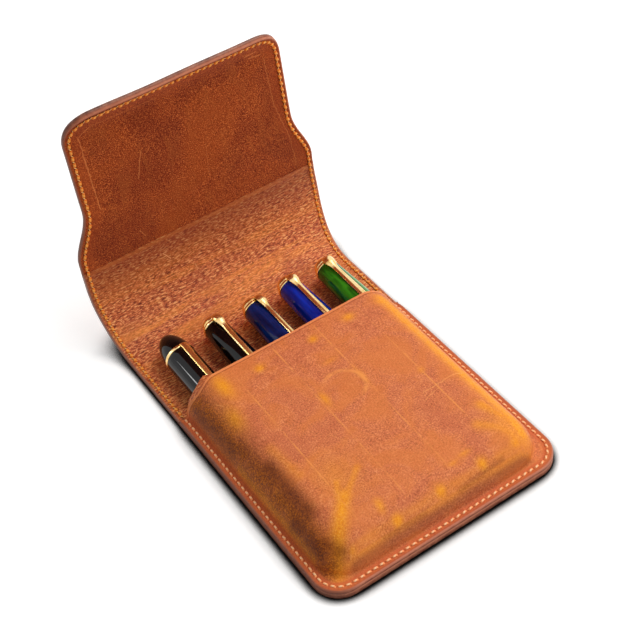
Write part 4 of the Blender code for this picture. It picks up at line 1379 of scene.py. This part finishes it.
def floor():
    """White floor; where something close above it shuts out the light it keeps a contact shadow."""
    mesh = bpy.data.meshes.new("floor")
    corners = [(x * FLOOR_HALF, y * FLOOR_HALF, 0) for x, y in ((-1, -1), (1, -1), (1, 1), (-1, 1))]
    mesh.from_pydata(corners, [], [(0, 1, 2, 3)])
    made = new_object("floor", mesh)
    made.location.z = -FLOOR_DROP
    paint = Paint("floor", Roughness=0.9, Specular_IOR_Level=0.1)
    place = paint.node("ShaderNodeTexCoord").outputs["Object"]
    grain = paint.noise(place, 90.0, 3.0, 0.6)
    plain = paint.ramp(grain, ((0.0, 240, 240, 240), (1.0, 245, 245, 245)))
    near = paint.node("ShaderNodeAmbientOcclusion",
                      {"Distance": SHADOW_REACH, "Normal": SHADOW_LEAN})
    open_share = paint.span(near.outputs["AO"], 0.56, 0.93)
    colour = paint.mix(open_share, rgb(6, 5, 5), plain)
    paint.finish(colour)
    away = paint.vector("LENGTH", {0: place}, "Value")
    lift = paint.times(open_share, paint.span(away, 0.3, 1.3, 0.42, 0.75))
    glow = paint.node("ShaderNodeEmission", {"Color": (1, 1, 1), "Strength": lift})
    plain_light = paint.shader.outputs[0]
    both = paint.node("ShaderNodeAddShader", {0: plain_light, 1: glow.outputs[0]})
    pick = paint.node("ShaderNodeMixShader", {
        0: seen_directly(paint), 1: plain_light, 2: both.outputs[0]})
    paint.give(paint.tree.nodes["Material Output"].inputs["Surface"], pick.outputs[0])
    made.data.materials.append(paint.material)


def wear(obj, material, slot):
    obj.data.materials.clear()
    obj.data.materials.append(material)


def assemble():
    rust, tan, nap, front_paint = outside_leather(), lining_leather(), suede(), front_leather()
    lower_turn = [fold_point(s) for s in LOWER_TURN]
    upper_turn = [fold_point(s) for s in UPPER_TURN]
    back, flap = build_back()
    lining, lining_up, facing = build_lining()
    for piece, material, slot in ((back, rust, "leather_rust"), (lining, tan, "leather_lining")):
        wear(piece, material, slot)
        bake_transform(piece)
    for piece, material, slot in ((flap, rust, "leather_rust"), (lining_up, tan, "leather_lining")):
        wear(piece, material, slot)
        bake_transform(piece)
    wear(facing, nap, "leather_suede")
    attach(facing, "flap")
    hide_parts("back_outer", "fold_outer")
    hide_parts("back_lining", "fold_lining")
    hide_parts("flap_outer")
    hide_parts("flap_lining")
    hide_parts("flap_facing")
    front = build_front()
    paint_front(front)
    wear(front, front_paint, "leather_rust")
    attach(front, "case")
    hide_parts("pocket_front")
    divider = build_divider()
    wear(divider, tan, "leather_lining")
    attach(divider, "case")
    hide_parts("pen_divider")
    orange = waxed_thread("orange_thread", rgb(255, 172, 72), rgb(226, 112, 20))
    cream = waxed_thread("cream_thread", rgb(255, 208, 158), rgb(252, 162, 98))
    # Pale paint for the thin thread that stands in for the stitches' painted highlight
    pale_highlight = waxed_thread("pale_highlight_thread", rgb(255, 208, 130), rgb(240, 150, 60))
    threads = build_threads()
    inner_lower, inner_upper, thin_highlight_lower, thin_highlight_upper, outer_lower, outer_upper, rim = threads
    for piece in (inner_lower, thin_highlight_lower, outer_lower):
        wear(piece, pale_highlight if piece is thin_highlight_lower else orange, "leather_lining")
        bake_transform(piece)
    for piece in (inner_upper, thin_highlight_upper, outer_upper):
        wear(piece, pale_highlight if piece is thin_highlight_upper else orange, "leather_lining")
        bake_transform(piece)
    wear(rim, cream, "leather_lining")
    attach(rim, "case")


def dress_pens():
    gold = metal("gold_plate", rgb(255, 226, 164), rgb(240, 196, 120), 0.17)
    resins = {
        "black": resin("resin_black", rgb(6, 6, 8), rgb(16, 15, 18), 0.3),
        "navy": resin("resin_navy", rgb(6, 18, 62), rgb(14, 50, 130), 0.8),
        "cobalt": resin("resin_blue", rgb(6, 18, 110), rgb(16, 56, 196), 0.8),
        "green": resin("resin_green", rgb(4, 50, 10), rgb(60, 150, 30), 1.0),
    }
    slots = {"black": "resin_black", "navy": "resin_navy", "cobalt": "resin_blue",
             "green": "resin_green"}
    for number, colour in enumerate(PENS, start=1):
        for node, piece in build_pen(number).items():
            golden = node.endswith(("_clip", "_crown"))
            wear(piece, gold if golden else resins[colour],
                 "gold_plate" if golden else slots[colour])
            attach(piece, f"pen_{number}")
            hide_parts(node)


def dress_magnets():
    steel = metal("magnet_steel", rgb(196, 196, 200), rgb(160, 160, 166), 0.3)
    for node in ("pocket_magnet", "flap_magnet"):
        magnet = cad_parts[node]
        magnet.data.materials.clear()
        magnet.data.materials.append(steel)


camera()
lights()
floor()
assemble()
dress_pens()
dress_magnets()
bpy.context.scene.view_settings.view_transform = "Standard"
